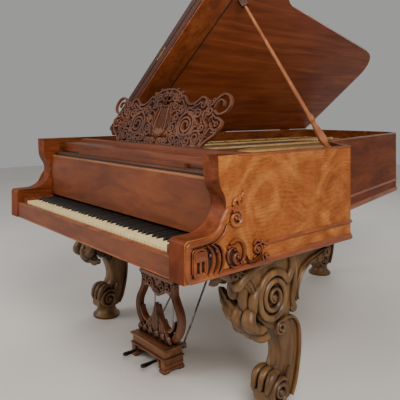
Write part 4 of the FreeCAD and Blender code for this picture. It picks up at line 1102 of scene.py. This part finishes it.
for reaches, radii, sides in (((8.6, 9, 10.6, 11.4), [0.013, 0.014, 0.014, 0.011], 24),
                              ((11, 13, 14), [0.006, 0.0056, 0.004], 16)):
    washer.tube([prop_base + prop_axis * MM * z for z in reaches], radii, sides, side_way=prop_side)
washer.piece("prop_washer", BRASS, "prop")

# ---- batten under the lid ------------------------------------------------------------------

LID_SLOPE = 40                         # degrees
LID_FLOOR = 1075
LID_SPLIT = 640                        # where the flap folds
BATTEN_HALF = 700
hinge_place = Vector(joints["lid_hinge"]["pos_m"])
lid_turn = (Matrix.Translation(hinge_place) @ Matrix.Rotation(math.radians(-LID_SLOPE), 4, "Y")
            @ Matrix.Translation(-hinge_place))
# the batten, and behind it a dark strip that stands in for the shadow along its rear edge: painted shadow
for name, material, front, back, drop, soften in (("lid_batten", BATTEN_WOOD, 6, 178, 8, 0.002),
                                                  ("batten_painted_shadow", PAINTED_SHADE_DARK, 178, 194, 2, 0.0006)):
    board = Shape()
    board.box(at(-BATTEN_HALF, LID_SPLIT + front, LID_FLOOR - drop),
              at(BATTEN_HALF, LID_SPLIT + back, LID_FLOOR + 0.3), soften)
    bmesh.ops.transform(board.mesh, matrix=lid_turn, verts=board.mesh.verts)
    board.piece(name, material, "lid", ["lid_cleat"] if name == "lid_batten" else [])

# ---- plate bolts and felt ------------------------------------------------------------------

PLATE_TOP = 1000
bolts = Shape()
PLATE_EDGE = [(648, 300, 0), (648, 910, 0), (380, 1164, 200), (74, 2500, 200), (-648, 2500, 0),
              (-648, 300, 0)]
BOLT_SPACING = 150
BOLT_PROFILE = [(0.016, -0.0005), (0.016, 0.0018), (0.0105, 0.0022), (0.0105, 0.007), (0.008, 0.0095),
                (0.003, 0.0106)]
edge = rounded(PLATE_EDGE)
travelled = BOLT_SPACING / 2
for (x, y), (next_x, next_y) in zip(edge, edge[1:]):
    run = math.hypot(next_x - x, next_y - y)
    while travelled < run:
        t = travelled / run
        place = at(x + (next_x - x) * t, y + (next_y - y) * t, PLATE_TOP)
        bolts.turned(place, BOLT_PROFILE, 12)
        travelled += BOLT_SPACING
    travelled -= run
bolts.piece("plate_bolts", BRASS, "case")

felt = Shape()
felt.ribbon([(-600, 404), (600, 404)], 12, 3.2, lambda x, y, z: at(x, y, PLATE_TOP + z), ROUND)
felt.piece("string_felt", FELT, "case")
bead = Shape()
LIP_PLAN = [(716, 300, 0), (716, 944, 0), (418, 1226, 236), (118, 2588, 236), (-714, 2588, 0), (-714, 300, 0)]
LIP_SECTION = ((0, 1000.4), (-14, 1000.4), (-16, 1003), (-14, 1008), (-8, 1011), (0, 1011))
moulding(bead, rounded(LIP_PLAN), LIP_SECTION)
bead.piece("plate_lip", GILT, "case")
